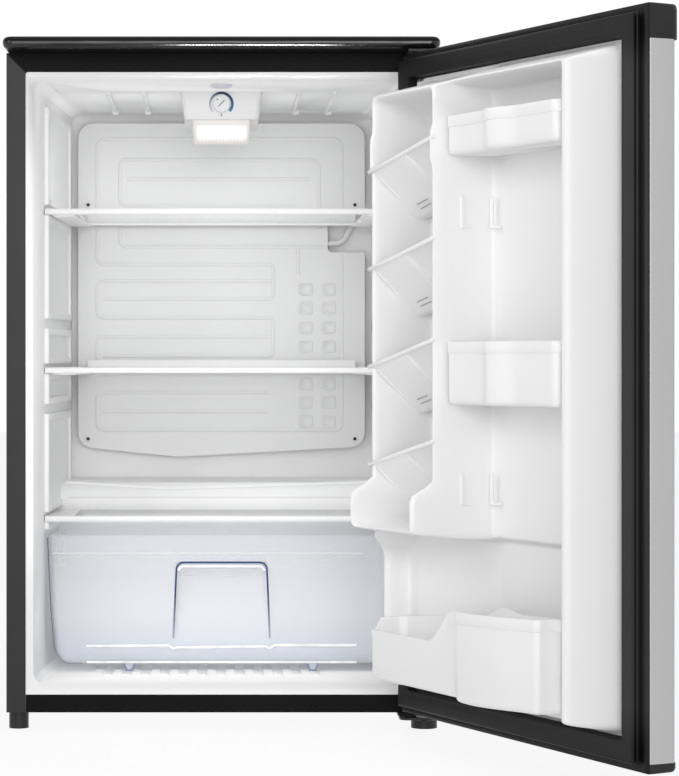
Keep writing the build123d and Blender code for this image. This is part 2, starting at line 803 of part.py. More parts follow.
def wire_places():
    half = COIL_WIDTH / 2 - WIRE_SIDE_INSET
    return [-half + 2 * half * i / (WIRE_COUNT - 1) for i in range(WIRE_COUNT)]


def condenser_wires():
    heights = coil_heights()
    away = COIL_TUBE + WIRE_RADIUS + WIRE_GAP
    z0, z1 = heights[0] - WIRE_OVERHANG, heights[-1] + WIRE_OVERHANG
    return [
        upright(x, coil_y() + side * away, z0, z1, WIRE_RADIUS) for x in wire_places() for side in (-1, 1)
    ]


def condenser_brackets():
    places = wire_places()
    heights = coil_heights()
    y1 = coil_y() - COIL_TUBE - JOIN_GAP
    brackets = []
    for first in (0, WIRE_COUNT - 2):
        x = (places[first] + places[first + 1]) / 2
        for z in (heights[2], heights[-3]):
            half, tall = BRACKET_WIDTH / 2, BRACKET_HEIGHT / 2
            brackets.append(span(x - half, x + half, CABINET_DEPTH, y1, z - tall, z + tall))
    return brackets


def filter_drier():
    x, y, z1 = coil_end()
    drier = upright(x, y, z1 - DRIER_LENGTH, z1, DRIER_RADIUS)
    return fillet(drier.edges(), min(DRIER_ROUND, DRIER_RADIUS / 2))


def capillary_tube():
    x, y, z1 = coil_end()
    z0 = z1 - DRIER_LENGTH
    low = z0 - CAPILLARY_DROP
    points = [(x, y, z0), (x, y, low), (x, bay_front + SHEET, low)]
    return tube(points, CAPILLARY_RADIUS, TUBE_BEND / 2)


def discharge_tube():
    x, y, z1 = coil_start()
    z = compressor_base() + DISCHARGE_HEIGHT
    start = COMPRESSOR_PLACE + COMPRESSOR_RADIUS + JOIN_GAP
    points = [(start, compressor_y(), z), (x, compressor_y(), z), (x, y, z), (x, y, z1)]
    return tube(points, COIL_TUBE, TUBE_BEND)


def left_levelling_foot():
    x, y = -half_width + FOOT_SIDE_INSET, FOOT_SETBACK
    pad = upright(x, y, 0, cabinet_bottom - SEAT_GAP, LEFT_FOOT_RADIUS)
    return pad + upright(x, y, cabinet_bottom - 1, base_top, FOOT_STUD_RADIUS)


def right_levelling_foot():
    x, y = half_width - FOOT_SIDE_INSET, FOOT_SETBACK
    pad = upright(x, y, 0, RIGHT_FOOT_HEIGHT, RIGHT_FOOT_RADIUS)
    return pad + upright(x, y, RIGHT_FOOT_HEIGHT - 1, cabinet_bottom - SEAT_GAP, FOOT_STUD_RADIUS)


def rear_foot_bar():
    half, deep = half_width - REAR_BAR_END_INSET, REAR_BAR_DEPTH / 2
    return span(-half, half, rear_bar_y - deep, rear_bar_y + deep, 0, cabinet_bottom)


def hinge_tab_screws():
    half = HINGE_PLATE_WIDTH / 4
    return (hinge_x - HINGE_SIDE_INSET / 2 - half, hinge_x - HINGE_SIDE_INSET / 2 + half)


def hinge_tab_bottom():
    """The tab ends above the gasket, which passes below it as the door closes."""
    return door_top - GASKET_MARGIN + HINGE_TAB_CLEARANCE


def hinge_tab_middle():
    return (hinge_tab_bottom() + cabinet_top - JOIN_GAP - HINGE_PLATE) / 2


def upper_hinge_bracket():
    x1 = half_width - DOOR_SIDE_GAP
    x0 = x1 - HINGE_PLATE_WIDTH
    top = cabinet_top - JOIN_GAP
    plate = span(x0, x1, hinge_y - HINGE_PLATE_REACH, 0, top - HINGE_PLATE, top)
    plate += span(x0, x1, -HINGE_TAB, 0, hinge_tab_bottom(), top)
    for place in hinge_tab_screws():
        plate -= lengthwise(place, hinge_tab_middle(), -3 * HINGE_TAB, 1, SCREW_RADIUS + SCREW_HOLE_GAP)
    return plate + upright(hinge_x, hinge_y, door_top - HINGE_PIN_LENGTH, top - 1, HINGE_PIN_RADIUS)


def lower_hinge_bracket():
    x1 = half_width - DOOR_SIDE_GAP / 2
    x0 = x1 - LOWER_PLATE_WIDTH
    y0 = hinge_y - HINGE_PLATE_REACH
    plate = span(x0, x1, y0, LOWER_PLATE_DEPTH, cabinet_bottom - HINGE_PLATE, cabinet_bottom)
    plate = fillet(plate.edges().filter_by(Axis.Z).group_by(Axis.Y)[0], HINGE_PLATE_REACH)
    foot = (half_width - FOOT_SIDE_INSET, FOOT_SETBACK)
    plate -= upright(*foot, 0, 2 * cabinet_bottom, FOOT_STUD_RADIUS + FOOT_STUD_GAP)
    pin_top = door_bottom + HINGE_PIN_LENGTH
    return plate + upright(hinge_x, hinge_y, cabinet_bottom - 1, pin_top, HINGE_PIN_RADIUS)


def hinge_screws():
    screws = []
    for x in hinge_tab_screws():
        z = hinge_tab_middle()
        head = lengthwise(x, z, -HINGE_TAB - SCREW_HEAD_HEIGHT, -HINGE_TAB, SCREW_HEAD_RADIUS)
        screws.append(head + lengthwise(x, z, -HINGE_TAB - 1, SHEET, SCREW_RADIUS))
    return screws


def shelf_plan(y0, y1):
    front, rear = wall_half(y0) - SHELF_SIDE_GAP, wall_half(y1) - SHELF_SIDE_GAP
    return [(-front, y0), (front, y0), (rear, y1), (-rear, y1)]


def shelf(height, y1, upstand):
    """A shelf: its frame, with a lap that the pane lies on, and the pane."""
    y0 = SHELF_SETBACK
    z0 = floor + height
    z1 = z0 + SHELF_THICKNESS
    frame = plan_outline(shelf_plan(y0, y1), z0, z1)
    half = wall_half(y0) - SHELF_SIDE_GAP - SHELF_SIDE_FRAME
    pane_y0, pane_y1 = y0 + SHELF_FRONT_FRAME, y1 - SHELF_FRONT_FRAME
    lap = SHELF_GLASS_LAP
    frame -= span(-half, half, pane_y0, pane_y1, z1 - SHELF_GLASS, z1 + 1)
    frame -= span(-half + lap, half - lap, pane_y0 + lap, pane_y1 - lap, z0 - 1, z1 + 1)
    if upstand:
        reach = wall_half(y1) - SHELF_UPSTAND_INSET
        frame += span(-reach, reach, y1 - SHELF_UPSTAND_WALL, y1, z1 - 1, z1 + SHELF_UPSTAND)
    gap = SEAT_GAP / 2
    pane = span(-half + gap, half - gap, pane_y0 + gap, pane_y1 - gap, z1 - SHELF_GLASS, z1)
    return frame, pane


def drawer_form(inward):
    """The drawer's outer form, drawn in on its sides and raised off its bottom."""
    z0 = floor + SEAT_GAP + DRAWER_FOOT + inward
    z1 = z0 + DRAWER_HEIGHT
    y0, y1 = DRAWER_SETBACK, step_front - DRAWER_REAR_GAP
    faces = []
    for z, draft in ((z0, DRAWER_DRAFT), (z1, 0)):
        front = wall_half(y0) - DRAWER_SIDE_GAP - draft - inward
        rear = wall_half(y1) - DRAWER_SIDE_GAP - draft - inward
        near = y0 + inward
        far = y1 - draft / 2 - inward
        outline = make_face(Polyline((-front, near), (front, near), (rear, far), (-rear, far), close=True))
        faces.append(Pos(0, 0, z) * fillet(outline.vertices(), DRAWER_CORNER - inward))
    return loft([face.face() for face in faces], ruled=True)


def grip_form(outward):
    """The hollow behind the drawer's front that fingers reach into, grown by some amount."""
    z0 = floor + DRAWER_FOOT + GRIP_LIFT - outward
    z1 = z0 + GRIP_HEIGHT + 2 * outward
    low, high = GRIP_WIDTH / 2 + outward, GRIP_WIDTH / 2 - GRIP_SPLAY + outward
    outline = [(-low, z0), (low, z0), (high, z1), (-high, z1)]
    return facing_outline(outline, DRAWER_SETBACK - 1, DRAWER_SETBACK + GRIP_DEPTH + outward, GRIP_RADIUS)


def crisper_drawer():
    drawer = (drawer_form(0) - grip_form(0)) - (drawer_form(DRAWER_WALL) - grip_form(DRAWER_WALL))
    z0 = floor + SEAT_GAP
    half, size = DRAWER_FOOT_SPAN / 2, DRAWER_FOOT_SIZE / 2
    y = DRAWER_SETBACK + DRAWER_FOOT_SIZE
    for x in (-half, half):
        drawer += span(x - size, x + size, y - size, y + size, z0, z0 + DRAWER_FOOT + DRAWER_WALL / 2)
    return drawer


def door_plan(inward):
    """The door seen from above: square at its inner face, round at its front corners."""
    half = door_edge - inward
    outline = make_face(
        Polyline(
            (-half, door_front + inward),
            (half, door_front + inward),
            (half, -DOOR_SPACE),
            (-half, -DOOR_SPACE),
            close=True,
        )
    )
    corners = outline.vertices().group_by(Axis.Y)[0]
    return fillet(corners, max(DOOR_CORNER - inward, 1))


def door_slab(inward, z0, z1):
    return Pos(0, 0, z0) * extrude(door_plan(inward), amount=z1 - z0, dir=(0, 0, 1))


def door_skin():
    z0, z1 = door_bottom + BOTTOM_TRIM_HEIGHT, door_top - TOP_TRIM_HEIGHT
    skin = door_slab(0, z0, z1) - door_slab(SHEET, z0 - 1, z1 + 1)
    for side in (-1, 1):
        edge = side * door_edge
        x0, x1 = sorted((edge, edge - side * DOOR_RETURN))
        skin += span(x0, x1, -DOOR_SPACE - SHEET, -DOOR_SPACE, z0, z1)
    return skin


def hinge_bore():
    return upright(hinge_x, hinge_y, 0, WORKTOP_HEIGHT, HINGE_PIN_RADIUS + HINGE_PIN_GAP + BUSHING_WALL)


def door_rim(thickness):
    """The flat border of the door liner that the gasket lies on, before it is opened."""
    u0, u1 = GASKET_MARGIN, door_width - GASKET_MARGIN
    z0, z1 = door_bottom + GASKET_MARGIN, door_top - GASKET_MARGIN
    return door_span(u0, u1, -thickness, 0, z0, z1)


def door_top_trim():
    z0 = door_top - TOP_TRIM_HEIGHT
    hollow = door_slab(TRIM_WALL, z0 - 1, door_top - TRIM_WALL)
    hollow -= span(-half_width, half_width, -DOOR_SPACE - TRIM_WALL, 0, z0 - 2, door_top)
    return door_slab(0, z0, door_top) - hollow - hinge_bore() - door_rim(TRIM_WALL)


def door_bottom_trim():
    z1 = door_bottom + BOTTOM_TRIM_HEIGHT
    hollow = door_slab(TRIM_WALL, door_bottom + TRIM_WALL, z1 + 1)
    hollow -= span(-half_width, half_width, -DOOR_SPACE - TRIM_WALL, 0, door_bottom, z1 + 2)
    return door_slab(0, door_bottom, z1) - hollow - hinge_bore() - door_rim(TRIM_WALL)


def hinge_bushings():
    """A bush in each end of the door; the lower one has a collar that the door stands on."""
    inner, outer = HINGE_PIN_RADIUS + HINGE_PIN_GAP, HINGE_PIN_RADIUS + HINGE_PIN_GAP + BUSHING_WALL
    deep = HINGE_PIN_LENGTH + 1
    upper = upright(hinge_x, hinge_y, door_top - deep, door_top, outer - HINGE_PIN_GAP)
    lower = upright(hinge_x, hinge_y, door_bottom, door_bottom + deep, outer - HINGE_PIN_GAP)
    lower += upright(hinge_x, hinge_y, cabinet_bottom + SEAT_GAP, door_bottom, outer + BUSHING_COLLAR)
    bore = upright(hinge_x, hinge_y, 0, WORKTOP_HEIGHT, inner)
    return [upper - bore, lower - bore]


def block_form(inward):
    """The raised middle of the door liner, without its recesses."""
    rise = BLOCK_DEPTH - inward
    share = rise / BLOCK_DEPTH
    hinge_side, free_side = door_edge - BLOCK_MARGIN - inward, door_edge - free_edge + inward
    low, high = block_bottom + inward, block_top - inward
    side, end = BLOCK_DRAFT * share, BLOCK_END_DRAFT * share
    base = (free_side, hinge_side, low, high, BLOCK_CORNER)
    crest = (free_side + side, hinge_side - side, low + end, high - end, BLOCK_CORNER)
    root = facing_rectangle(-DOOR_SPACE - BLOCK_ROOT, *base)
    ends = [facing_rectangle(-DOOR_SPACE, *base), facing_rectangle(rise - DOOR_SPACE, *crest)]
    body = loft(ends, ruled=True)
    return body + extrude(root, amount=BLOCK_ROOT, dir=(0, 1, 0))


def block_recesses(outward):
    """The spaces sunk into the door liner: for cans, for the upper bins, and below both."""
    grow = outward
    far = 2 * BLOCK_DEPTH
    crest = block_top - BLOCK_END_DRAFT - TOP_CREST
    low = column_floor_height
    cans = door_span(
        COLUMN_START - grow,
        COLUMN_START + COLUMN_WIDTH + grow,
        COLUMN_FLOOR - grow,
        far,
        low + COLUMN_CREST - grow,
        door_top - COLUMN_TOP_GAP - COLUMN_CREST + grow,
    )
    main = door_span(column_end - grow, dyke_inner + grow, MAIN_FLOOR - grow, far, low - grow, crest + grow)
    sill = block_bottom + BLOCK_END_DRAFT + LOW_SILL
    u0, u1 = LOW_START - grow, dyke_inner + grow
    bottom = door_span(u0, u1, -LOW_FLOOR - grow, far, sill - grow, low + grow)
    mouth = door_span(u0, u1, LOW_SILL_HEIGHT - grow, far, 0, low)
    return [cans, main, bottom, mouth]


def column_crest():
    """The raised rim around the cans."""
    z0, z1 = column_floor_height, door_top - COLUMN_TOP_GAP
    u0, u1 = COLUMN_START - COLUMN_CREST, column_end
    x0, x1 = door_edge - u1, door_edge - u0
    outline = [(x0, z0), (x1, z0), (x1, z1), (x0, z1)]
    rim = facing_outline(outline, MAIN_FLOOR - DOOR_SPACE, COLUMN_DEPTH - DOOR_SPACE)
    corners = [edge for edge in rim.edges().filter_by(Axis.Y) if edge.center().Z > z0 + 1]
    return fillet(corners, COLUMN_CORNER)


def door_core():
    """The foam inside the raised middle of the door liner."""
    core = block_form(DOOR_LINER_WALL)
    for recess in block_recesses(DOOR_LINER_WALL):
        core -= recess
    return core


def door_liner():
    liner = block_form(0) + column_crest()
    for recess in block_recesses(0):
        liner -= recess
    liner -= door_core()
    window = facing_rectangle(
        -DOOR_SPACE - 2 * DOOR_LINER_WALL,
        door_edge - free_edge,
        door_edge - BLOCK_MARGIN,
        block_bottom,
        block_top,
        BLOCK_CORNER,
    )
    liner += door_rim(DOOR_LINER_WALL) - extrude(window, amount=3 * DOOR_LINER_WALL, dir=(0, 1, 0))
    u0, u1 = column_end - 1, column_end + HOOK_DEPTH
    for lift in HOOK_LIFTS:
        for place in HOOK_PLACES:
            z = door_bottom + lift
            liner += door_span(u0, u1, place, place + HOOK_WIDTH, z, z + HOOK_HEIGHT)
    return liner


def door_foam():
    z0, z1 = door_bottom + TRIM_WALL, door_top - TRIM_WALL
    foam = door_slab(TRIM_WALL, z0, z1)
    foam -= span(-half_width, half_width, -DOOR_SPACE - TRIM_WALL, 0, 0, WORKTOP_HEIGHT)
    foam -= block_form(0)
    reach = HINGE_PIN_LENGTH + 2
    bore = HINGE_PIN_RADIUS + HINGE_PIN_GAP + BUSHING_WALL
    for z in (door_bottom, door_top):
        foam -= upright(hinge_x, hinge_y, z - reach, z + reach, bore)
    return foam + door_core()


def gasket_bar(length):
    """A bar of the gasket along X with mitred ends, its outer edge along the line Y = 0."""
    outline = [(0, 0), (length, 0), (length - GASKET_WIDTH, GASKET_WIDTH), (GASKET_WIDTH, GASKET_WIDTH)]
    bar = extrude(make_face(Polyline(*outline, close=True)), amount=GASKET_THICKNESS, dir=(0, 0, 1))
    y0 = GASKET_LIP
    groove = Pos(length / 2, y0 + GASKET_GROOVE / 2, GASKET_THICKNESS) * Box(
        2 * length, GASKET_GROOVE, 2 * GASKET_GROOVE_DEPTH
    )
    return bar - groove


def door_gasket():
    wide = door_width - 2 * GASKET_MARGIN
    tall = door_top - door_bottom - 2 * GASKET_MARGIN
    x, z = door_edge - GASKET_MARGIN, door_bottom + GASKET_MARGIN
    bars = []
    for corner, along, length in (
        ((-x, z), (1, 0, 0), wide),
        ((x, z), (0, 0, 1), tall),
        ((x, z + tall), (-1, 0, 0), wide),
        ((-x, z + tall), (0, 0, -1), tall),
    ):
        origin = (corner[0], -DOOR_SPACE, corner[1])
        plane = Plane(origin=origin, x_dir=along, z_dir=(0, -1, 0))
        bars.append(mirror(plane * gasket_bar(length), about=Plane.XZ.offset(DOOR_SPACE)))
    return bars


def cradle(z0):
    """A tilted trough for one can, with a lip along its front edge."""
    front = COLUMN_DEPTH + SEAT_GAP
    slope = CRADLE_RISE / (COLUMN_WIDTH + 2 * COLUMN_CREST)
    fall, wall, bed = CRADLE_FALL, CRADLE_WALL, COLUMN_FLOOR + CRADLE_BED
    back = COLUMN_FLOOR + SEAT_GAP
    trough = [
        (front + CRADLE_LIP, 0),
        (front, 0),
        (bed, -fall),
        (back, -fall + wall),
        (back, -fall),
        (bed, -fall - CRADLE_BED_WALL),
        (front + CRADLE_LIP, -CRADLE_FRONT_WALL),
    ]
    tall = CRADLE_LIP_HEIGHT / 2
    lip = [(front, -tall), (front + CRADLE_LIP, -tall), (front + CRADLE_LIP, tall), (front, tall)]
    pieces = []
    inside = (COLUMN_START + SEAT_GAP, COLUMN_START + COLUMN_WIDTH - SEAT_GAP)
    whole = (COLUMN_START - COLUMN_CREST, column_end - SEAT_GAP)
    for outline, ends in ((trough, inside), (lip, whole)):
        faces = []
        for u in ends:
            shift = slope * (u - COLUMN_START)
            plane = Plane(origin=(door_edge - u, -DOOR_SPACE, z0 + shift), x_dir=(0, 1, 0), z_dir=(1, 0, 0))
            faces.append((plane * make_face(Polyline(*outline, close=True))).face())
        pieces.append(loft(faces, ruled=True))
    return pieces[0] + pieces[1]


def can_cradles():
    first, last = column_floor_height + CRADLE_START, door_top - CRADLE_TOP_DROP
    pitch = (last - first) / (CRADLE_COUNT - 1)
    return [cradle(first + pitch * place) for place in range(CRADLE_COUNT)]


def can_tray():
    """The tray under the cans: a bed, a front lip and two cheeks that stand out in front."""
    z0 = column_floor_height + COLUMN_CREST + SEAT_GAP
    u0, u1 = COLUMN_START + SEAT_GAP, COLUMN_START + COLUMN_WIDTH - SEAT_GAP
    back, front = COLUMN_FLOOR + SEAT_GAP, COLUMN_DEPTH + SEAT_GAP
    tray = door_span(u0, u1, back, TRAY_REACH, z0, z0 + CAN_TRAY_WALL)
    tray += door_span(u0, u1, TRAY_REACH - CAN_TRAY_WALL, TRAY_REACH, z0, z0 + TRAY_LIP)
    for u in (COLUMN_START - COLUMN_CREST, COLUMN_START + COLUMN_WIDTH - SEAT_GAP - 1):
        cheek = door_span(u, u + COLUMN_CREST + SEAT_GAP + 1, front, TRAY_REACH, z0, z0 + TRAY_CHEEK_HEIGHT)
        corners = cheek.edges().filter_by(Axis.X).group_by(Axis.Y)[-1]
        tray += fillet(corners, CHEEK_RADIUS)
    return tray


def bin_plan(u0, u1, back, small, large, place, run):
    """A bin seen from above: a shallow end, a shoulder and a deeper end."""
    shoulder = [(u0 + place, small), (u0 + place + run, large)]
    points = [(u0, back), (u0, small), *shoulder, (u1, large), (u1, back)]
    return [(door_edge - u, p - DOOR_SPACE) for u, p in points]


def open_bin(outline, z0, height):
    outer = plan_outline(outline, z0, z0 + height, BIN_CORNER)
    inner = plan_outline(outline, z0 + BIN_WALL, z0 + height + 1, BIN_CORNER, BIN_WALL)
    return outer - inner


def small_bin(z0, height):
    u0, u1 = column_end + HOOK_DEPTH + BIN_GAP, dyke_inner - BIN_GAP
    outline = bin_plan(
        u0, u1, MAIN_FLOOR + BIN_GAP, BIN_SMALL_REACH, BIN_LARGE_REACH, BIN_STEP_PLACE, BIN_STEP_RUN
    )
    return open_bin(outline, z0, height)


def lower_bin():
    u0, u1 = LOW_START + BIN_GAP, dyke_inner - BIN_GAP
    z0 = door_bottom + LOWER_BIN_LIFT
    sill = LOW_SILL_HEIGHT + BIN_GAP
    outline = bin_plan(
        u0, u1, sill, LOWER_BIN_SMALL_REACH, LOWER_BIN_LARGE_REACH, LOWER_BIN_STEP_PLACE, LOWER_BIN_STEP_RUN
    )
    body = open_bin(outline, z0, LOWER_BIN_HEIGHT)
    end = u0 + LOWER_BIN_STEP_PLACE
    low, high = z0 + LOWER_BIN_LOW_RIM, z0 + LOWER_BIN_LOW_RIM + LOWER_BIN_RIM_RISE
    top = z0 + 2 * LOWER_BIN_HEIGHT
    near, far = door_edge - u0 + 1, door_edge - end
    wedge = [(near, low), (far, high), (far, top), (near, top)]
    return body - facing_outline(wedge, -DOOR_SPACE, 2 * LOWER_BIN_LARGE_REACH)


fixed_parts = {
    "side_panel_right": side_panel(),
    "side_panel_left": mirror(side_panel(), about=Plane.YZ),
    "front_top_bar": front_top_bar(),
    "front_sill": front_sill(),
    "worktop": worktop(),
    "back_panel": back_panel(),
    "base_plate": base_plate(),
    "compressor_bay_panel": compressor_bay_panel(),
    "cabinet_foam": cabinet_foam(),
    "cabinet_liner": cabinet_liner(),
    "evaporator_plate": evaporator_plate(),
    "evaporator_spacers": evaporator_spacers(),
    "evaporator_screws": evaporator_screws(),
    "suction_tube": suction_tube(),
    "control_housing": control_housing(),
    "thermostat": thermostat(),
    "dial_scale": dial_scale(),
    "thermostat_knob": thermostat_knob(),
    "light_lens": light_lens(),
    "lamp_socket": lamp_socket(),
    "light_bulb": light_bulb(),
    "compressor": compressor(),
    "compressor_grommets": compressor_grommets(),
    "relay_cover": relay_cover(),
    "cord_gland": cord_gland(),
    "evaporation_tray": evaporation_tray(),
    "drain_tube": drain_tube(),
    "condenser_coil": condenser_coil(),
    "condenser_wires": condenser_wires(),
    "condenser_brackets": condenser_brackets(),
    "filter_drier": filter_drier(),
    "capillary_tube": capillary_tube(),
    "discharge_tube": discharge_tube(),
    "left_levelling_foot": left_levelling_foot(),
    "right_levelling_foot": right_levelling_foot(),
    "rear_foot_bar": rear_foot_bar(),
    "upper_hinge_bracket": upper_hinge_bracket(),
    "lower_hinge_bracket": lower_hinge_bracket(),
    "hinge_screws": hinge_screws(),
    "crisper_drawer": crisper_drawer(),
}
shelf_rear = evaporator_front - SHELF_REAR_GAP
cover_rear = step_front - SHELF_REAR_GAP
for name, height, rear, upstand in (
    ("upper_shelf", upper_shelf_height, shelf_rear, True),
    ("lower_shelf", LOWER_SHELF_HEIGHT, shelf_rear, True),
    ("crisper_cover", COVER_HEIGHT, cover_rear, False),
):
    fixed_parts[name + "_frame"], fixed_parts[name + "_glass"] = shelf(height, rear, upstand)

door_parts = {
    "door_skin": door_skin(),
    "door_foam": door_foam(),
    "door_liner": door_liner(),
    "door_gasket": door_gasket(),
    "door_top_trim": door_top_trim(),
    "door_bottom_trim": door_bottom_trim(),
    "hinge_bushings": hinge_bushings(),
    "can_cradles": can_cradles(),
    "can_tray": can_tray(),
    "bin_upper": small_bin(door_top - UPPER_BIN_DROP, UPPER_BIN_HEIGHT),
    "bin_middle": small_bin(door_bottom + MIDDLE_BIN_LIFT, MIDDLE_BIN_HEIGHT),
    "bin_lower": lower_bin(),
}

to_origin = Pos(0, -rear_bar_y, 0)
swing = Pos(hinge_x, hinge_y, 0) * Rot(0, 0, DOOR_REST_ANGLE) * Pos(-hinge_x, -hinge_y, 0)
os.makedirs("parts", exist_ok=True)
for parts, place in ((fixed_parts, to_origin), (door_parts, to_origin * swing)):
    for name, shape in parts.items():
        pieces = shape if isinstance(shape, list) else [shape]
        solids = [place * solid for piece in pieces for solid in piece.solids()]
        export_step(solids[0] if len(solids) == 1 else Compound(children=solids), f"parts/{name}.step")
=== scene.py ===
# %% [markdown]
# # A small refrigerator with its door open
# The solid model already fixes every size and every joint. This lesson dresses it: a camera, a pale
# studio, finishes made from nodes, and the fine shapes that the solids leave plain.
# Everything is in metres. X runs to the right, Y towards the back and Z up from the floor.

import math

import bmesh
import bpy
import numpy as np
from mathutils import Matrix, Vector


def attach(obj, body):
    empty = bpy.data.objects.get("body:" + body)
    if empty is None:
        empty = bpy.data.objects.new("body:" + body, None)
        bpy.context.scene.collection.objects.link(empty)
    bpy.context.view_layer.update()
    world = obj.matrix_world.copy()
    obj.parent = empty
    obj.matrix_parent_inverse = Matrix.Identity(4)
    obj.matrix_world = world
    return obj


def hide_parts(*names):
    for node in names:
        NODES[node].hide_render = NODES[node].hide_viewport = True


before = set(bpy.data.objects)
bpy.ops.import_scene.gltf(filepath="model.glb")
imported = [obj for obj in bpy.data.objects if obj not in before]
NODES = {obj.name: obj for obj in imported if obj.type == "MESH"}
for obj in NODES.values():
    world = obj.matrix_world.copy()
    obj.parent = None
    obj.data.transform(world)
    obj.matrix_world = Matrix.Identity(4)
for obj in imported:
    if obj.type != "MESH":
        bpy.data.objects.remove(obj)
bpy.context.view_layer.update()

# %% [markdown]
# ## The camera
# The picture was taken from straight in front, a little above half height, with the door's free edge
# swung towards the lens. The picture's frame is off centre, so the lens is shifted, as on a view camera,
# and verticals stay vertical.

# %% Camera
FRAME_WIDTH, FRAME_HEIGHT = 679, 776
FOCAL_PIXELS = 2604
AXIS_PIXEL = (221.5, 356)
CAMERA_PLACE = (0.0, -3.602, 0.4566)


def put(name, data):
    """An object in the scene, from its data."""
    thing = bpy.data.objects.new(name, data)
    bpy.context.scene.collection.objects.link(thing)
    return thing


def make_camera():
    data = bpy.data.cameras.new("photo_camera")
    data.sensor_width = 36
    data.lens = FOCAL_PIXELS * data.sensor_width / FRAME_HEIGHT
    data.shift_x = (FRAME_WIDTH / 2 - AXIS_PIXEL[0]) / FRAME_HEIGHT
    data.shift_y = (AXIS_PIXEL[1] - FRAME_HEIGHT / 2) / FRAME_HEIGHT
    data.clip_end = 100
    camera = put("photo_camera", data)
    camera.location = CAMERA_PLACE
    camera.rotation_euler = (math.radians(90), 0, 0)
    bpy.context.scene.camera = camera
    return camera


print("lens", round(make_camera().data.lens, 2))

# %% [markdown]
# ## Arithmetic on shader sockets
# A finish is a small formula over the surface. Wiring Math nodes by hand hides that formula, so one class
# wraps a socket and lets Python's operators add the nodes.

# %% Shader expressions


def step(tree, kind, inputs, output=0, **settings):
    """One node of any tree, with its inputs linked or set."""
    node = tree.nodes.new(kind)
    for key, value in settings.items():
        setattr(node, key, value)
    for key, value in inputs.items():
        if isinstance(value, bpy.types.NodeSocket):
            tree.links.new(value, node.inputs[key])
        else:
            node.inputs[key].default_value = value
    return node.outputs[output]


class Value:
    """A number that varies over the surface."""

    def __init__(self, finish, socket):
        self.finish = finish
        self.socket = socket

    def math(self, operation, *others):
        return self.finish.add("ShaderNodeMath", dict(enumerate((self, *others))), operation=operation)

    def __add__(self, other):
        return self.math("ADD", other)

    __radd__ = __add__

    def __mul__(self, other):
        return self.math("MULTIPLY", other)

    __rmul__ = __mul__

    def __sub__(self, other):
        return self.math("SUBTRACT", other)

    def __rsub__(self, other):
        return self.finish.add("ShaderNodeMath", {0: other, 1: self}, operation="SUBTRACT")

    def __truediv__(self, other):
        return self.math("DIVIDE", other)

    def smooth(self, low, high):
        """0 below low, 1 above high, and a soft step between."""
        limits = {"Value": self, "From Min": low, "From Max": high}
        return self.finish.add("ShaderNodeMapRange", limits, interpolation_type="SMOOTHSTEP")


print("values ready")

# %% [markdown]
# A second class holds a material and its shader. Real paint, plastic and metal are never quite even, so its methods are
# named after what makes them uneven: a drift of tone, a roughness that wanders, a fine grain.

# %% Finish class


class Finish:
    """A material with one shader, and the nodes that vary it."""

    def __init__(self, name, colour, roughness, **constants):
        self.material = bpy.data.materials.new(name)
        self.material.use_nodes = True
        self.tree = self.material.node_tree
        self.shader = self.tree.nodes["Principled BSDF"]
        self.colour = (*colour, 1)
        self.shader.inputs["Base Color"].default_value = self.colour
        self.shader.inputs["Roughness"].default_value = roughness
        for socket, value in constants.items():
            self.shader.inputs[socket.replace("_", " ")].default_value = value

    def add(self, kind, inputs, output=0, **settings):
        """Any node, from values that vary and values that stay."""
        sockets = {key: getattr(value, "socket", value) for key, value in inputs.items()}
        return Value(self, step(self.tree, kind, sockets, output, **settings))

    def object_place(self):
        return self.add("ShaderNodeTexCoord", {}, "Object")

    def axis(self, name):
        """One coordinate of the surface point, in metres."""
        return self.add("ShaderNodeSeparateXYZ", {0: self.object_place()}, name)

    def noise(self, scale, detail=2.0, stretch=(1, 1, 1)):
        """Smooth random values from 0 to 1, over metres divided by scale."""
        place = self.add("ShaderNodeMapping", {"Vector": self.object_place(), "Scale": stretch})
        return self.add("ShaderNodeTexNoise", {"Vector": place, "Scale": scale, "Detail": detail})

    def facing(self, blend):
        """0 where the surface faces the viewer and 1 at its rim, for the sheen of clear plastic and glass."""
        return self.add("ShaderNodeLayerWeight", {"Blend": blend}, "Facing")

    def vary(self, socket, value):
        self.tree.links.new(value.socket, self.shader.inputs[socket])
        return self

    def tint(self, amount, other):
        """Mixes the base colour with another by an amount that varies."""
        shades = {"Factor": amount, 6: self.colour, 7: (*other, 1)}
        return self.vary("Base Color", self.add("ShaderNodeMix", shades, 2, data_type="RGBA"))

    def drift(self, scale, other, detail=2.0):
        """Lets the base colour drift towards another."""
        return self.tint(self.noise(scale, detail), other)

    def rough(self, base, scale, more):
        """Roughness that rises from a base with a noise."""
        return self.vary("Roughness", base + self.noise(scale) * more)

    def grain(self, scale, distance, strength, detail=1.0):
        """A fine texture that only bends the light."""
        bump = {"Height": self.noise(scale, detail), "Distance": distance, "Strength": strength}
        return self.vary("Normal", self.add("ShaderNodeBump", bump))

    def on(self, *names):
        """Gives the finish to solid nodes, in place of the plain one they came with."""
        for name in names:
            slots = NODES[name].data.materials
            slots.clear()
            slots.append(self.material)
        return self


print("finish class ready")

# %% [markdown]
# ## The studio
# The product stands on a white sweep with a white room around it. Camera rays, reflections and clear plastic see both
# at full white, while the light they shed on the object is set apart and stays at a plain level: a room that lights as
# brightly as it looks would wash the shadows out of the white plastic.

# %% Room and floor
ROOM_LIGHT = 0.285
FLOOR_LIGHT = 0.65
FLOOR_GLOW = 0.9
FLOOR_SIZE, FLOOR_DROP = 24, 0.0005


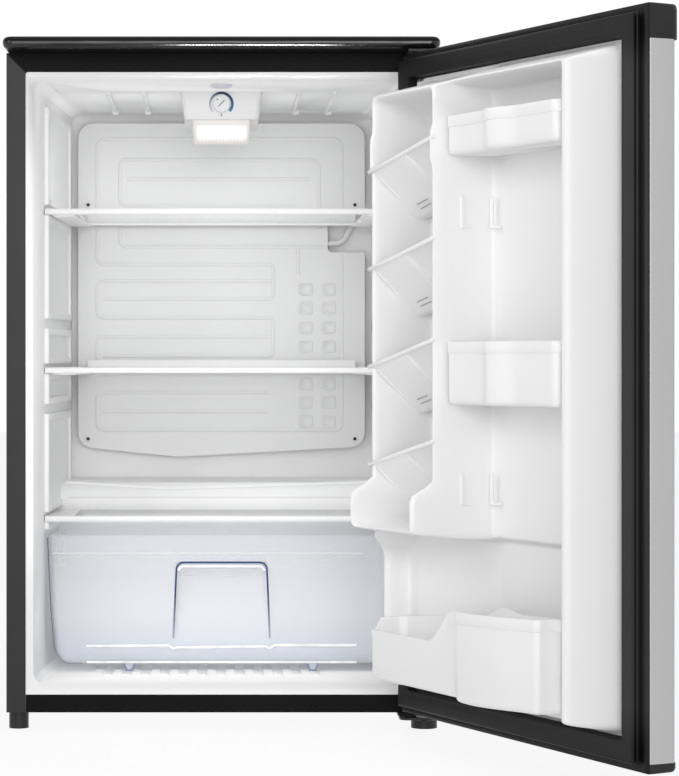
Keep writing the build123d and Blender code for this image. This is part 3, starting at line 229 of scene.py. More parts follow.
def white_when_seen(tree, lit):
    """Strength 1 for camera rays, reflections and clear materials, and another strength for lighting."""
    path = tree.nodes.new("ShaderNodeLightPath").outputs
    seen = path["Is Camera Ray"]
    for ray in ("Is Glossy Ray", "Is Transmission Ray"):
        seen = step(tree, "ShaderNodeMath", {0: seen, 1: path[ray]}, operation="MAXIMUM")
    return step(tree, "ShaderNodeMapRange", {"Value": seen, "To Min": lit, "To Max": 1})


def make_world():
    world = bpy.data.worlds.new("white_room")
    bpy.context.scene.world = world
    world.use_nodes = True
    background = world.node_tree.nodes["Background"]
    background.inputs["Color"].default_value = (1, 1, 1, 1)
    world.node_tree.links.new(white_when_seen(world.node_tree, ROOM_LIGHT), background.inputs["Strength"])


def make_floor():
    bpy.ops.mesh.primitive_plane_add(size=FLOOR_SIZE, location=(0, 0, -FLOOR_DROP))
    floor = bpy.context.object
    floor.name = "studio_floor"
    paper = Finish("floor_white", (0.9, 0.9, 0.9), 0.9, Specular_IOR_Level=0)
    tree = paper.tree
    glow = step(tree, "ShaderNodeEmission", {"Strength": white_when_seen(tree, FLOOR_LIGHT)})
    mix = step(tree, "ShaderNodeMixShader", {0: FLOOR_GLOW, 1: paper.shader.outputs[0], 2: glow})
    tree.links.new(mix, tree.nodes["Material Output"].inputs["Surface"])
    floor.data.materials.append(paper.material)


bpy.context.scene.view_settings.view_transform = "Standard"
make_world()
make_floor()
print("room", ROOM_LIGHT, "floor", FLOOR_LIGHT)

# %% [markdown]
# A large soft box in front, one on the left and one above shape the white forms. Faint fills stand in for the light
# that white plastic passes on: at the mouth, over the sill, under the lamp, in the drawer, and low and high before the
# door. A narrow strip on the floor gives the worktop's nose its broken highlight and lights nothing else.

# %% Lights
WIDE, NARROW = 180, 12
# Name, place, target, size, whether gloss mirrors it, watts and spread in degrees.
LIGHTS = [
    ("front_box", (0.25, -5.2, 1.0), (0.0, 0.0, 0.45), (2.6, 2.2), True, 72, WIDE),
    ("left_box", (-2.2, -2.8, 1.9), (0.0, -0.3, 0.45), (1.6, 1.6), True, 26, WIDE),
    ("top_box", (0.1, -0.7, 2.6), (0.1, -0.4, 0.4), (1.8, 1.8), True, 17, WIDE),
    ("mouth_fill", (-0.025, -0.47, 0.46), (-0.025, 0.0, 0.46), (0.42, 0.5), False, 0.27, WIDE),
    ("sill_fill", (-0.02, -0.415, 0.14), (-0.02, -0.31, 0.06), (0.38, 0.03), False, 0.04, WIDE),
    ("fridge_lamp", (0.0, -0.25, 0.72), (0.0, -0.2, 0.3), (0.07, 0.1), True, 0.06, WIDE),
    ("lamp_glow", (-0.01, -0.3, 0.69), (-0.01, 0.0, 0.7), (0.38, 0.05), False, 0.12, WIDE),
    ("drawer_fill", (-0.02, -0.288, 0.15), (-0.02, 0.0, 0.15), (0.38, 0.12), False, 0.095, WIDE),
    ("door_fill_low", (-0.124, -0.911, 0.36), (0.329, -0.7, 0.5), (0.4, 0.6), False, 0.28, WIDE),
    ("door_fill_high", (-0.124, -0.911, 1.05), (0.329, -0.7, 0.5), (0.3, 0.3), False, 0.3, WIDE),
    ("strip_box", (0.055, -1.2, 0.02), (0.045, -0.48, 0.83), (0.24, 0.3), True, 0.25, NARROW),
]


def soft_box(name, place, target, size, mirrored, power, spread):
    """A lamp that the camera doesn't see. A narrow one lights gloss alone."""
    data = bpy.data.lights.new(name, "AREA")
    data.shape = "RECTANGLE"
    data.size, data.size_y = size
    data.energy = power
    data.spread = math.radians(spread)
    light = put(name, data)
    light.visible_camera = False
    light.visible_glossy = mirrored
    light.visible_diffuse = spread == WIDE
    light.location = place
    light.rotation_euler = (Vector(target) - Vector(place)).to_track_quat("-Z", "Y").to_euler()


for light in LIGHTS:
    soft_box(*light)
print("lights", len(LIGHTS))

# %% [markdown]
# ## Finishes
# A fridge has few materials, but each has its own surface: satin black paint, glossy vacuum-formed white,
# clear crystal plastic, float glass, soft black rubber and a silver skin. Photographed textures could dress them, but
# formulas fit any size and need no files. The blacks come first: each has its own gloss, or the edges between them
# would be lost, and the worktop has a clear coat that is broken into streaks along its nose. The front top bar and the
# sill take a darker black than the sides as painted shade, on the bar the shadow of the worktop's overhang.

# %% Black finishes
black_paint = Finish("black_paint", (0.013, 0.013, 0.0135), 0.38, Specular_IOR_Level=0.25)
black_paint.drift(9, (0.022, 0.022, 0.023)).rough(0.35, 40, 0.08).grain(700, 0.0002, 0.25)
black_paint.on("side_panel_right", "side_panel_left", "upper_hinge_bracket", "lower_hinge_bracket")
black_paint.on("compressor", "condenser_coil", "condenser_wires")

black_plastic = Finish("black_plastic", (0.008, 0.008, 0.0085), 0.3, Specular_IOR_Level=0.3)
black_plastic.drift(14, (0.02, 0.02, 0.021)).rough(0.32, 60, 0.06).grain(900, 0.00015, 0.2)
black_plastic.on("relay_cover", "condenser_brackets", "left_levelling_foot", "right_levelling_foot", "rear_foot_bar")

black_gloss = Finish("black_gloss", (0.005, 0.005, 0.0055), 0.3, Specular_IOR_Level=0.07, Coat_Roughness=0.1)
black_gloss.drift(11, (0.009, 0.009, 0.0095)).on("worktop")
height = black_gloss.axis("Z")
band = height.smooth(0.8255, 0.827) * (1 - height.smooth(0.833, 0.835))
streaks = black_gloss.noise(30, 3, (0.5, 1, 12)).smooth(0.3, 0.7)
black_gloss.vary("Coat Weight", band * (0.45 + streaks * 0.55))

# Painted shade: the front top bar, in the shadow of the worktop's overhang, and the sill get a darker black than the
# same paint on the sides.
black_shade = Finish("black_shade", (0.0035, 0.0035, 0.0035), 0.45, Specular_IOR_Level=0.06)
black_shade.drift(9, (0.007, 0.007, 0.007)).on("front_top_bar", "front_sill")
print("black finishes ready")

# %% [markdown]
# The white parts are formed or moulded plastic, and the cold plate is coated aluminium. Glass could bend the light as
# it does in life, but thin panes hardly do. Plain transparency, which lessens towards a grazing view, is enough.

# %% White and clear finishes
white_shell = Finish("white_shell", (0.885, 0.885, 0.885), 0.28)
white_shell.drift(5, (0.9, 0.9, 0.9)).rough(0.33, 30, 0.05).grain(400, 0.0001, 0.03)
white_shell.on("cabinet_liner", "door_liner", "can_cradles", "can_tray", "bin_upper", "bin_middle", "bin_lower")
white_shell.on("upper_shelf_frame", "lower_shelf_frame", "crisper_cover_frame", "control_housing", "thermostat_knob")

white_coat = Finish("white_coat", (0.76, 0.76, 0.765), 0.34)
white_coat.drift(6, (0.78, 0.78, 0.785)).grain(90, 0.0004, 0.08).on("evaporator_plate")

float_glass = Finish("float_glass", (0.5, 0.55, 0.53), 0.05).rough(0.04, 20, 0.03)
float_glass.vary("Alpha", 0.12 + float_glass.facing(0.15) * 0.12).on("upper_shelf_glass", "lower_shelf_glass")

frosted = Finish("frosted", (0.86, 0.87, 0.88), 0.3)
frosted.vary("Alpha", 0.45 + frosted.noise(15) * 0.1).on("crisper_cover_glass")

WARM = (1.0, 0.97, 0.92)
Finish("bulb_glow", WARM, 0.2, Emission_Strength=12.0, Emission_Color=(*WARM, 1)).on("light_bulb")
print("white and clear finishes ready")

# %% [markdown]
# The rest shows at the door's edge, or only from behind: silver skin, rubber, zinc sheet, copper, nylon and foam.

# %% Metal, rubber and foam
silver_paint = Finish("silver_paint", (0.53, 0.53, 0.535), 0.36, Metallic=0.25)
silver_paint.drift(5, (0.56, 0.56, 0.565)).on("door_skin")

black_rubber = Finish("black_rubber", (0.004, 0.004, 0.004), 0.5, Specular_IOR_Level=0.2)
# Painted shade: the rubber is darkest along the seal's top and bottom runs, and lighter, with a random drift, up its
# upright sides.
height = black_rubber.axis("Z")
sides = height.smooth(0.05, 0.1) * (1 - height.smooth(0.75, 0.79))
black_rubber.tint(sides * (0.5 + black_rubber.noise(12) * 0.5), (0.032, 0.032, 0.032))
black_rubber.on("door_gasket", "compressor_grommets", "cord_gland")

zinc = Finish("zinc", (0.5, 0.51, 0.52), 0.42, Metallic=1.0).drift(60, (0.62, 0.63, 0.64), 4)
zinc.on("back_panel", "base_plate", "compressor_bay_panel", "hinge_screws", "evaporator_screws")

copper = Finish("copper", (0.72, 0.36, 0.2), 0.3, Metallic=1.0).drift(30, (0.5, 0.22, 0.12))
copper.on("filter_drier", "capillary_tube", "discharge_tube")

nylon = Finish("nylon", (0.78, 0.78, 0.75), 0.45).drift(30, (0.72, 0.72, 0.7))
nylon.on("evaporator_spacers", "thermostat", "lamp_socket", "evaporation_tray", "drain_tube", "hinge_bushings")

foam = Finish("foam", (0.83, 0.76, 0.52), 0.9).grain(400, 0.001, 0.6, 3).on("cabinet_foam", "door_foam")
print("finishes", len([m for m in bpy.data.materials if m.users]))

# %% [markdown]
# ## Mesh helpers
# Most fine pieces are rings of points joined into a skin, or a sheet over a grid. These helpers make the mesh,
# turn its faces outwards, give it a finish and let it ride on its body of the solid model.

# %% Mesh helpers
HINGE = (0.2452, -0.4675)
DOOR_EDGE = 0.2585
DOOR_FACE = -0.445
OPEN_ANGLE = math.radians(115)
FACE_DEPTH = 430


def on_door(u, p, z):
    """Millimetres on the door (u from its hinge edge, p out of its inner face) to metres, with the door open."""
    x = DOOR_EDGE - np.asarray(u, float) / 1000 - HINGE[0]
    y = DOOR_FACE + np.asarray(p, float) / 1000 - HINGE[1]
    c, s = math.cos(OPEN_ANGLE), math.sin(OPEN_ANGLE)
    z = np.asarray(z, float) / 1000
    return np.stack(np.broadcast_arrays(HINGE[0] + c * x - s * y, HINGE[1] + s * x + c * y, z), axis=-1)


def in_cabinet(x, y, z):
    """Millimetres in the cabinet, y from its front face, to metres."""
    x, y, z = np.broadcast_arrays(*(np.asarray(v, float) / 1000 for v in (x, y, z)))
    return np.stack([x, y - FACE_DEPTH / 1000, z], axis=-1)


def mesh_of(name, points, edges, faces):
    mesh = bpy.data.meshes.new(name)
    mesh.from_pydata([tuple(p) for p in points], edges, faces)
    return mesh


def piece(name, points, faces, *looks, **options):
    """A closed mesh that rides on a body, and stands for the named solids."""
    return dressed(name, mesh_of(name, points, [], faces), *looks, **options)


def dressed(name, mesh, finish, body, hides=(), slot="white_plastic", sharp=35):
    """Puts a mesh into the scene with its faces outwards, its finish and its body. The slot is not used."""
    form = bmesh.new()
    form.from_mesh(mesh)
    bmesh.ops.remove_doubles(form, verts=form.verts, dist=1e-6)
    bmesh.ops.recalc_face_normals(form, faces=form.faces)
    form.to_mesh(mesh)
    form.free()
    mesh.polygons.foreach_set("use_smooth", [True] * len(mesh.polygons))
    mesh.set_sharp_from_angle(angle=math.radians(sharp))
    mesh.materials.clear()
    mesh.materials.append(finish.material)
    thing = put(name, mesh)
    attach(thing, body)
    if hides:
        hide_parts(*hides)
    return thing


def skin(rings, cap=True):
    """Points and faces between rings of equally many points."""
    count = len(rings[0])
    faces = []
    for ring in range(len(rings) - 1):
        a, b = ring * count, (ring + 1) * count
        for i in range(count):
            j = (i + 1) % count
            faces.append((a + i, a + j, b + j, b + i))
    if cap:
        faces.append(tuple(range(count)))
        faces.append(tuple(range((len(rings) - 1) * count, len(rings) * count)))
    return np.concatenate(rings), faces


def joined(parts):
    """Several points-and-faces pairs as one."""
    points, faces = [], []
    for some_points, some_faces in parts:
        first = sum(len(p) for p in points)
        points.append(np.asarray(some_points))
        faces += [tuple(i + first for i in face) for face in some_faces]
    return np.concatenate(points), faces


def smoothstep(t):
    t = np.clip(t, 0, 1)
    return t * t * (3 - 2 * t)


print("door turns about", HINGE)

# %% [markdown]
# Outlines are lists of corners, each with a radius. They can be drawn in towards their inside, level by level, which
# gives every moulding its soft edges.

# %% Outlines


def rounded(corners, steps=6):
    """A closed outline from corners of x, y and radius, with each corner an arc."""
    path = []
    for k, (x, y, radius) in enumerate(corners):
        here = np.array([x, y], float)
        if not radius:
            path.append(here)
            continue
        before = np.array(corners[k - 1][:2]) - here
        after = np.array(corners[(k + 1) % len(corners)][:2]) - here
        before, after = before / np.linalg.norm(before), after / np.linalg.norm(after)
        half = math.acos(np.clip(before @ after, -1, 1)) / 2
        middle = (before + after) / np.linalg.norm(before + after)
        centre = here + middle * radius / math.sin(half)
        start = here + before * radius / math.tan(half) - centre
        end = here + after * radius / math.tan(half) - centre
        turn = math.acos(np.clip(start @ end / radius**2, -1, 1))
        for t in np.linspace(0, 1, steps + 1):
            mixed = start * math.sin((1 - t) * turn) + end * math.sin(t * turn)
            path.append(centre + mixed / math.sin(turn))
    return np.array(path)


def rectangle(x0, x1, y0, y1, radius, steps=6):
    return rounded([(x0, y0, radius), (x1, y0, radius), (x1, y1, radius), (x0, y1, radius)], steps)


def evenly(path, spacing, count=0):
    """The closed outline again, as points about a spacing apart, or as so many points."""
    path = np.concatenate([path, path[:1]])
    length = np.concatenate([[0], np.cumsum(np.linalg.norm(np.diff(path, axis=0), axis=1))])
    places = np.linspace(0, length[-1], count or int(length[-1] / spacing), endpoint=False)
    return np.stack([np.interp(places, length, path[:, i]) for i in range(path.shape[1])], axis=1)


def drawn_in(outline, inset):
    """A closed outline moved towards its inside."""
    ahead, behind = np.roll(outline, -1, axis=0), np.roll(outline, 1, axis=0)
    run = ahead - behind
    normal = np.stack([run[:, 1], -run[:, 0]], axis=1) / np.linalg.norm(run, axis=1)[:, None]
    area = np.sum(outline[:, 0] * ahead[:, 1] - ahead[:, 0] * outline[:, 1])
    return outline - normal * inset * (1 if area > 0 else -1)


def stacked(outline, layers, place):
    """A form from one outline and layers of level and inset, each put in its place."""
    return skin([place(*drawn_in(outline, inset).T, level) for level, inset in layers])


def upright(outline, layers):
    """A form in the cabinet from an outline of x and z, and layers of y and inset."""
    return stacked(outline, layers, lambda x, z, y: in_cabinet(x, y, z))


def open_path(corners, steps=6):
    """A path through corners of x, z and radius, with the inner corners as arcs."""
    corners = [(x, z, 0 if i in (0, len(corners) - 1) else r) for i, (x, z, r) in enumerate(corners)]
    return rounded(corners, steps)


def cabinet_path(corners, depth, steps=6):
    """An open path in the cabinet, at a depth that is fixed or follows x and z."""
    x, z = open_path(corners, steps).T
    return in_cabinet(x, depth(x, z) if callable(depth) else depth, z)


def turned(profile, steps=24):
    """A solid of revolution about Y from points of radius and y, closed at both ends, in metres."""
    around = np.linspace(0, 2 * math.pi, steps, endpoint=False)
    rings = []
    for radius, y in profile:
        rings.append(np.stack([radius * np.cos(around), np.full(steps, y), radius * np.sin(around)], axis=1) / 1000)
    return skin(rings)


print("outlines ready")

# %% [markdown]
# ## Node tools for what repeats
# Beads along an edge and copies on rows of points are work for geometry nodes: one tree with named inputs serves every
# bead, and another every row.

# %% Node trees


def new_tree(name, **inputs):
    """A geometry tree with a geometry input, named inputs and a geometry output."""
    tree = bpy.data.node_groups.new(name, "GeometryNodeTree")
    for label, kind in (("Geometry", "Geometry"), *inputs.items()):
        tree.interface.new_socket(label, in_out="INPUT", socket_type="NodeSocket" + kind)
    tree.interface.new_socket("Geometry", in_out="OUTPUT", socket_type="NodeSocketGeometry")
    return tree, tree.nodes.new("NodeGroupInput").outputs


def closing(tree, geometry, finish):
    """Every tree ends the same way: real meshes with a finish."""
    real = step(tree, "GeometryNodeRealizeInstances", {"Geometry": geometry})
    painted = step(tree, "GeometryNodeSetMaterial", {"Geometry": real, "Material": finish})
    tree.links.new(painted, tree.nodes.new("NodeGroupOutput").inputs[0])
    return tree


def bead_tree():
    """A bead swept along every path, pressed flat against a plane across Y."""
    tree, given = new_tree("bead_on_path", Radius="Float", Flatness="Float", Plane="Float", Finish="Material")
    path = step(tree, "GeometryNodeMeshToCurve", {"Mesh": given["Geometry"]})
    ring = step(tree, "GeometryNodeCurvePrimitiveCircle", {"Resolution": 8, "Radius": given["Radius"]})
    bead = step(tree, "GeometryNodeCurveToMesh", {"Curve": path, "Profile Curve": ring, "Fill Caps": True})
    place = tree.nodes.new("ShaderNodeSeparateXYZ")
    tree.links.new(step(tree, "GeometryNodeInputPosition", {}), place.inputs[0])
    plane = given["Plane"]
    away = step(tree, "ShaderNodeMath", {0: place.outputs[1], 1: plane}, operation="SUBTRACT")
    pressed = step(tree, "ShaderNodeMath", {0: away, 1: given["Flatness"], 2: plane}, operation="MULTIPLY_ADD")
    moved = step(tree, "ShaderNodeCombineXYZ", {0: place.outputs[0], 1: pressed, 2: place.outputs[2]})
    bead = step(tree, "GeometryNodeSetPosition", {"Geometry": bead, "Position": moved})
    return closing(tree, bead, given["Finish"])


def copies_tree():
    """A copy of one shape on every point."""
    tree, given = new_tree("copies_on_points", Shape="Object", Finish="Material")
    shape = step(tree, "GeometryNodeObjectInfo", {"Object": given["Shape"]}, output="Geometry")
    copies = step(tree, "GeometryNodeInstanceOnPoints", {"Points": given["Geometry"], "Instance": shape})
    return closing(tree, copies, given["Finish"])


BEAD, COPIES = bead_tree(), copies_tree()
print("trees", BEAD.name, COPIES.name)

# %% [markdown]
# A tree runs as a modifier on a carrier of points and edges. The result is kept as a plain mesh, which any other tool
# can read, and the path or the points that it grew from are removed.

# %% Pieces from trees


def grown(name, tree, points, edges, inputs, finish, body, **options):
    """Runs a tree on points and edges, and keeps its result as a plain piece."""
    carrier = put(name + "_path", mesh_of(name, points, edges, []))
    modifier = carrier.modifiers.new("grow", "NODES")
    modifier.node_group = tree
    inputs["Finish"] = finish.material
    for socket in tree.interface.items_tree:
        if socket.in_out == "INPUT" and socket.name in inputs:
            modifier[socket.identifier] = inputs[socket.name]
    graph = bpy.context.evaluated_depsgraph_get()
    result = bpy.data.meshes.new_from_object(carrier.evaluated_get(graph))
    carrier.modifiers.clear()
    bpy.data.objects.remove(carrier)
    return dressed(name, result, finish, body, **options)


def beads(name, paths, radius, finish, body, flatness=1.0, plane=0.0, **options):
    """Beads along open paths of points in metres."""
    edges, first = [], 0
    for path in paths:
        edges += [(first + i, first + i + 1) for i in range(len(path) - 1)]
        first += len(path)
    sizes = {"Radius": radius, "Flatness": flatness, "Plane": plane}
    return grown(name, BEAD, np.concatenate(paths), edges, sizes, finish, body, **options)


def copies(name, shape, places, finish, body, **options):
    """Copies of a points-and-faces pair, set on places in metres."""
    template = put(name + "_shape", mesh_of(name, shape[0], [], shape[1]))
    result = grown(name, COPIES, places, [], {"Shape": template}, finish, body, **options)
    bpy.data.objects.remove(template)
    return result


print("beads and copies ready")

# %% [markdown]
# ## The door's inner shell
# On the real door this is one sheet of white plastic, sucked hot over a mould: walls that stand like dykes, soft
# crests and deep round corners. Such a sheet is a height map, so it is made as one: a raster in door coordinates,
# blurred by the sheet's bending radius and sampled on grid lines that crowd at the walls.

# %% Height map tools


def lines(low, high, coarse, fine, places, reach):
    """Grid lines that crowd around the places where a surface turns."""
    lots = [np.arange(low, high, coarse), [high]]
    lots += [np.arange(max(low, p - reach), min(high, p + reach), fine) for p in places]
    found = np.unique(np.round(np.concatenate(lots), 3))
    keep = [found[0]]
    least = 0.6 * fine
    for value in found[1:-1]:
        if value - keep[-1] > least and found[-1] - value > least:
            keep.append(value)
    return np.array([*keep, found[-1]])


def hollow(distance, radius):
    """Height of a hollow round corner at a distance from its wall."""
    away = np.clip(distance, 0, radius)
    return radius - np.sqrt(np.maximum(radius**2 - (radius - away) ** 2, 0))


def soften(heights, blur):
    """Rounds every edge of a height map on a 1 mm raster."""
    reach = int(4 * blur)
    weights = np.exp(-0.5 * (np.arange(-reach, reach + 1) / blur) ** 2)
    weights /= weights.sum()
    for axis in (0, 1):
        padded = np.pad(heights, [(reach, reach) if a == axis else (0, 0) for a in (0, 1)], mode="edge")
        heights = np.apply_along_axis(lambda row: np.convolve(row, weights, mode="valid"), axis, padded)
    return heights


def sampled(heights, u, z, origin):
    """Heights between the raster's points."""
    i, j = u - origin[0], z - origin[1]
    i0 = np.clip(i.astype(int), 0, heights.shape[0] - 2)
    j0 = np.clip(j.astype(int), 0, heights.shape[1] - 2)
    a, b = i - i0, j - j0
    low = heights[i0, j0] * (1 - a) + heights[i0 + 1, j0] * a
    high = heights[i0, j0 + 1] * (1 - a) + heights[i0 + 1, j0 + 1] * a
    return low * (1 - b) + high * b


def sheet(front, back):
    """A closed sheet between two grids of points."""
    rows, columns = front.shape[:2]
    index = np.arange(rows * columns).reshape(rows, columns)
    cells = [
        (index[r, c], index[r + 1, c], index[r + 1, c + 1], index[r, c + 1])
        for r in range(rows - 1)
        for c in range(columns - 1)
    ]
    count = rows * columns
    faces = cells + [tuple(i + count for i in reversed(cell)) for cell in cells]
    rim = [*index[:, 0], *index[-1, 1:], *index[-2::-1, -1], *index[0, -2:0:-1]]
    for k, here in enumerate(rim):
        there = rim[(k + 1) % len(rim)]
        faces.append((here, there, there + count, here + count))
    return np.concatenate([front.reshape(-1, 3), back.reshape(-1, 3)]), faces


def within(u, z, space):
    """Distances in from the four sides of a rectangle, negative outside it."""
    return u - space[0], space[1] - u, z - space[2], space[3] - z


print("height map tools ready")

# %% [markdown]
# Three hollows share the sheet: a tall column for cans on the hinge side, the main hollow beside it and a low one
# across the bottom, with a sill under that. The column's rim runs out in an S at its foot, to hold the lowest can.

# %% Shell sizes
SHELL = (9, 508, 36.5, 810.5)
BLOCK_SIDES, BLOCK_FOOT, BLOCK_HEAD = (39, 478), 64, 783
SIDE_DRAFT, FOOT_DRAFT, HEAD_DRAFT = 19, 10, 18
DYKE, HINGE_DYKE = 63, 75
DYKE_CHANGE, DYKE_CHANGE_RUN = 205, 24
COLUMN = (71, 219, 254.5, 761)
COLUMN_DROP, COLUMN_CORNER, COLUMN_SCOOP, COLUMN_HEAD_SCOOP = 4, 14, 12, 46
RIM, RIM_WIDTH, RIM_RUN_OUT, RIM_FOOT = 83, 8, 30, 12
RUN_OUT_TOP, RUN_OUT_END = 316, 297
EAR, EAR_LOW, EAR_HIGH, EAR_BLEND = 3.5, 668, 713, 5
MAIN = (219, 447, 250, 760)
MAIN_NEAR_ROUND, MAIN_FAR_ROUND, MAIN_TOP_ROUND = 15, 10, 4
LOW = (51, 447, 84, 250)
LOW_FOOT_ROUND, LOW_FAR_ROUND, LOW_START = 14, 8, 8
MAIN_FLOOR, COLUMN_FLOOR, LOW_FLOOR, SILL = 4, 6, -8, 16
LOW_CREST, LOW_CREST_HALF, LOW_RAMP, LOW_RAMP_START, LOW_RAMP_END = 54, 3.5, 32, 80, 217
SWEEP_START, SWEEP_RUN, SWEEP_IN, SWEEP_UP, SWEEP_WALL = 222, 32, 24, 28, 6
SHEET_BEND, SHEET_WALL = 1.7, 2.0
TURNS_ACROSS = (39, 51, 58, 71, 79, 211, 219, 447, 459, 478)
TURNS_UP = (64, 74, 84, 238, 252, 262, 758, 766, 779)
FOAM_REACH, FOAM_GAP, FOAM_BACK = 9, 1, -33.0
print("shell from", SHELL[::2], "to", SHELL[1::2])

# %% [markdown]
# The heights are laid down like the mould itself: first the drafted block, then each hollow sunk into it, and at last
# one blur that rounds every edge, as hot plastic does when it bridges a corner.

# %% Shell heights


def rim_height(z):
    """How far the column's rim stands out at a height."""
    out = RIM + RIM_RUN_OUT * smoothstep((RUN_OUT_TOP - z) / (RUN_OUT_TOP - RUN_OUT_END))
    foot = np.clip(COLUMN[2] + RIM_FOOT + 1.5 - z, 0, RIM_FOOT)
    ear = EAR * smoothstep((EAR_HIGH - z) / EAR_BLEND) * smoothstep((z - EAR_LOW) / EAR_BLEND)
    return out + ear - RIM_FOOT + np.sqrt(RIM_FOOT**2 - foot**2)


def low_hollow(u, z):
    """The hollow behind the low bin: a crest that sweeps in from the column, a wall, a ramp and a floor."""
    sweep = smoothstep((z - SWEEP_START) / SWEEP_RUN)
    middle = LOW[0] + SWEEP_IN * sweep
    crest = LOW_CREST + SWEEP_UP * sweep
    ramp = LOW_FLOOR + LOW_RAMP * np.clip((LOW_RAMP_END - u) / (LOW_RAMP_END - LOW_RAMP_START), 0, 1)
    wall = crest - SWEEP_WALL * np.maximum(u - middle - LOW_CREST_HALF, 0)
    slope = crest * np.clip((u - BLOCK_SIDES[0]) / (middle - LOW_CREST_HALF - BLOCK_SIDES[0]), 0, 1)
    return np.where(u < middle, slope, np.maximum(wall, ramp))


def door_heights():
    """The sheet's heights on a 1 mm raster, block first and then hollow by hollow."""
    u, z = np.meshgrid(np.arange(SHELL[0], SHELL[1] + 1.5), np.arange(SHELL[2], SHELL[3] + 1.5), indexing="ij")
    beside = smoothstep((u - DYKE_CHANGE) / DYKE_CHANGE_RUN)
    head = BLOCK_HEAD - COLUMN_DROP * (1 - beside)
    side = np.minimum(u - BLOCK_SIDES[0], BLOCK_SIDES[1] - u) / SIDE_DRAFT
    end = np.minimum((z - BLOCK_FOOT) / FOOT_DRAFT, (head - z) / HEAD_DRAFT)
    corner = np.hypot(np.minimum(side - 1, 0), np.minimum(end - 1, 0))
    heights = np.clip(1 - corner, 0, 1) * (HINGE_DYKE + (DYKE - HINGE_DYKE) * beside)

    near, far, low, high = within(u, z, LOW)
    open_low = (u > BLOCK_SIDES[0]) & (far > 0) & (low > 0) & (high > 0)
    foot_round = hollow(low, LOW_FOOT_ROUND) * (near > LOW_START)
    heights = np.where(open_low, low_hollow(u, z) + foot_round + hollow(far, LOW_FAR_ROUND), heights)
    sill = (near > LOW_START) & (far > 0) & (low <= 0)
    heights = np.where(sill, np.minimum(heights, SILL), heights)

    near, far, low, high = sides = within(u, z, MAIN)
    floor = MAIN_FLOOR + hollow(near, MAIN_NEAR_ROUND) + hollow(far, MAIN_FAR_ROUND) + hollow(high, MAIN_TOP_ROUND)
    heights = np.where(np.min(sides, axis=0) > 0, np.minimum(floor, DYKE), heights)

    near, far, low, high = within(u, z, COLUMN)
    beyond = [np.maximum(COLUMN_CORNER - distance, 0) for distance in (near, high)]
    at_corner = (near < COLUMN_CORNER) & (high < COLUMN_CORNER)
    inner = np.where(at_corner, COLUMN_CORNER - np.hypot(*beyond), np.minimum(near, high))
    edge = np.minimum(np.minimum(far, low), inner)
    heights = np.where(edge > 0, rim_height(z), heights)
    scoop = np.maximum(hollow(edge - RIM_WIDTH, COLUMN_SCOOP), hollow(high - RIM_WIDTH, COLUMN_HEAD_SCOOP))
    heights = np.where(edge > RIM_WIDTH, COLUMN_FLOOR + scoop, heights)
    return soften(heights, SHEET_BEND)


shell_heights = door_heights()
print("heights from", round(shell_heights.min(), 1), "to", round(shell_heights.max(), 1))

# %% [markdown]
# The sheet is a front and a back grid with a closed rim. The foam behind it keeps clear of the walls, so it follows the
# least height nearby.

# %% Shell mesh


def lowest_around(heights, axis):
    """The least height within the foam's reach along an axis."""
    return np.min([np.roll(heights, shift, axis) for shift in range(-FOAM_REACH, FOAM_REACH + 1)], axis=0)


def door_shell(heights):
    us = lines(SHELL[0], SHELL[1], 8, 1.2, TURNS_ACROSS, 6)
    zs = lines(SHELL[2], SHELL[3], 8, 1.3, TURNS_UP, 7)
    u, z = np.meshgrid(us, zs, indexing="ij")
    p = sampled(heights, u, z, (SHELL[0], SHELL[2]))
    points, faces = sheet(on_door(u, p, z), on_door(u, p - SHEET_WALL, z))
    shell = piece("door_shell", points, faces, white_shell, "door", ["door_liner", "can_tray"], sharp=60)

    lowest = lowest_around(lowest_around(heights, 0), 1)
    u, z = np.meshgrid(np.arange(22, 496, 8), np.arange(50, 798, 8), indexing="ij")
    p = sampled(lowest, u, z, (SHELL[0], SHELL[2])) - SHEET_WALL - FOAM_GAP
    points, faces = sheet(on_door(u, p, z), on_door(u, np.full_like(p, FOAM_BACK), z))
    piece("door_foam_fill", points, faces, foam, "door", ["door_foam"], "foam")
    return shell


print("door shell faces", len(door_shell(shell_heights).data.polygons))

# %% [markdown]
# ## Door bins
# Each bin is an injection moulding: thin drafted walls, a rounded bottom edge, and a rim band that stands a hair
# proud. One profile of insets and heights is walked round the bin's outline, so inside and outside come together.

# %% Door bins
BIN_WALL, BIN_DRAFT = 2.2, 1.6
BIN_BOTTOM_ROUND = 6
RIM_BAND = 13
SMALL_BACK = [(446.6, 4.8), (264, 4.8), (252, 6.8), (240, 11.5), (232, 17.5), (226, 25), (222.4, 33)]
TALL_BACK = [(446.6, 16.4), (124, 16.4), (84, 26), (66, 30), (58.4, 38)]


def small_front(u):
    """How far the two upper bins reach out: a flat end, a shoulder, and a sweep back to a flat end."""
    return 70 + 9.5 * smoothstep((u - 300) / 26) - 10.5 * smoothstep((u - 328) / 45)


def tall_front(u):
    """The lowest bin's front: a flat end for bottles, then a belly."""
    belly = 14 * smoothstep((u - 254) / 38) + 6 * np.sin(np.clip((u - 262) / 185, 0, 1) * math.pi)
    return 79 + belly - 2 * smoothstep((u - 380) / 66)


def bin_outline(back, front, radius):
    """A bin seen from above, as evenly spaced points."""
    u0, u1 = back[-1][0], back[0][0]
    along = np.arange(u0 + radius + 4, u1 - radius - 3, 3.0)
    corners = [(*back[-1], 3), (u0, front(u0), radius), *[(u, front(u), 0) for u in along]]
    corners += [(u1, front(u1), radius), (*back[0], 3), *[(*point, 0) for point in back[1:-1]]]
    return evenly(rounded(corners), 2.6)


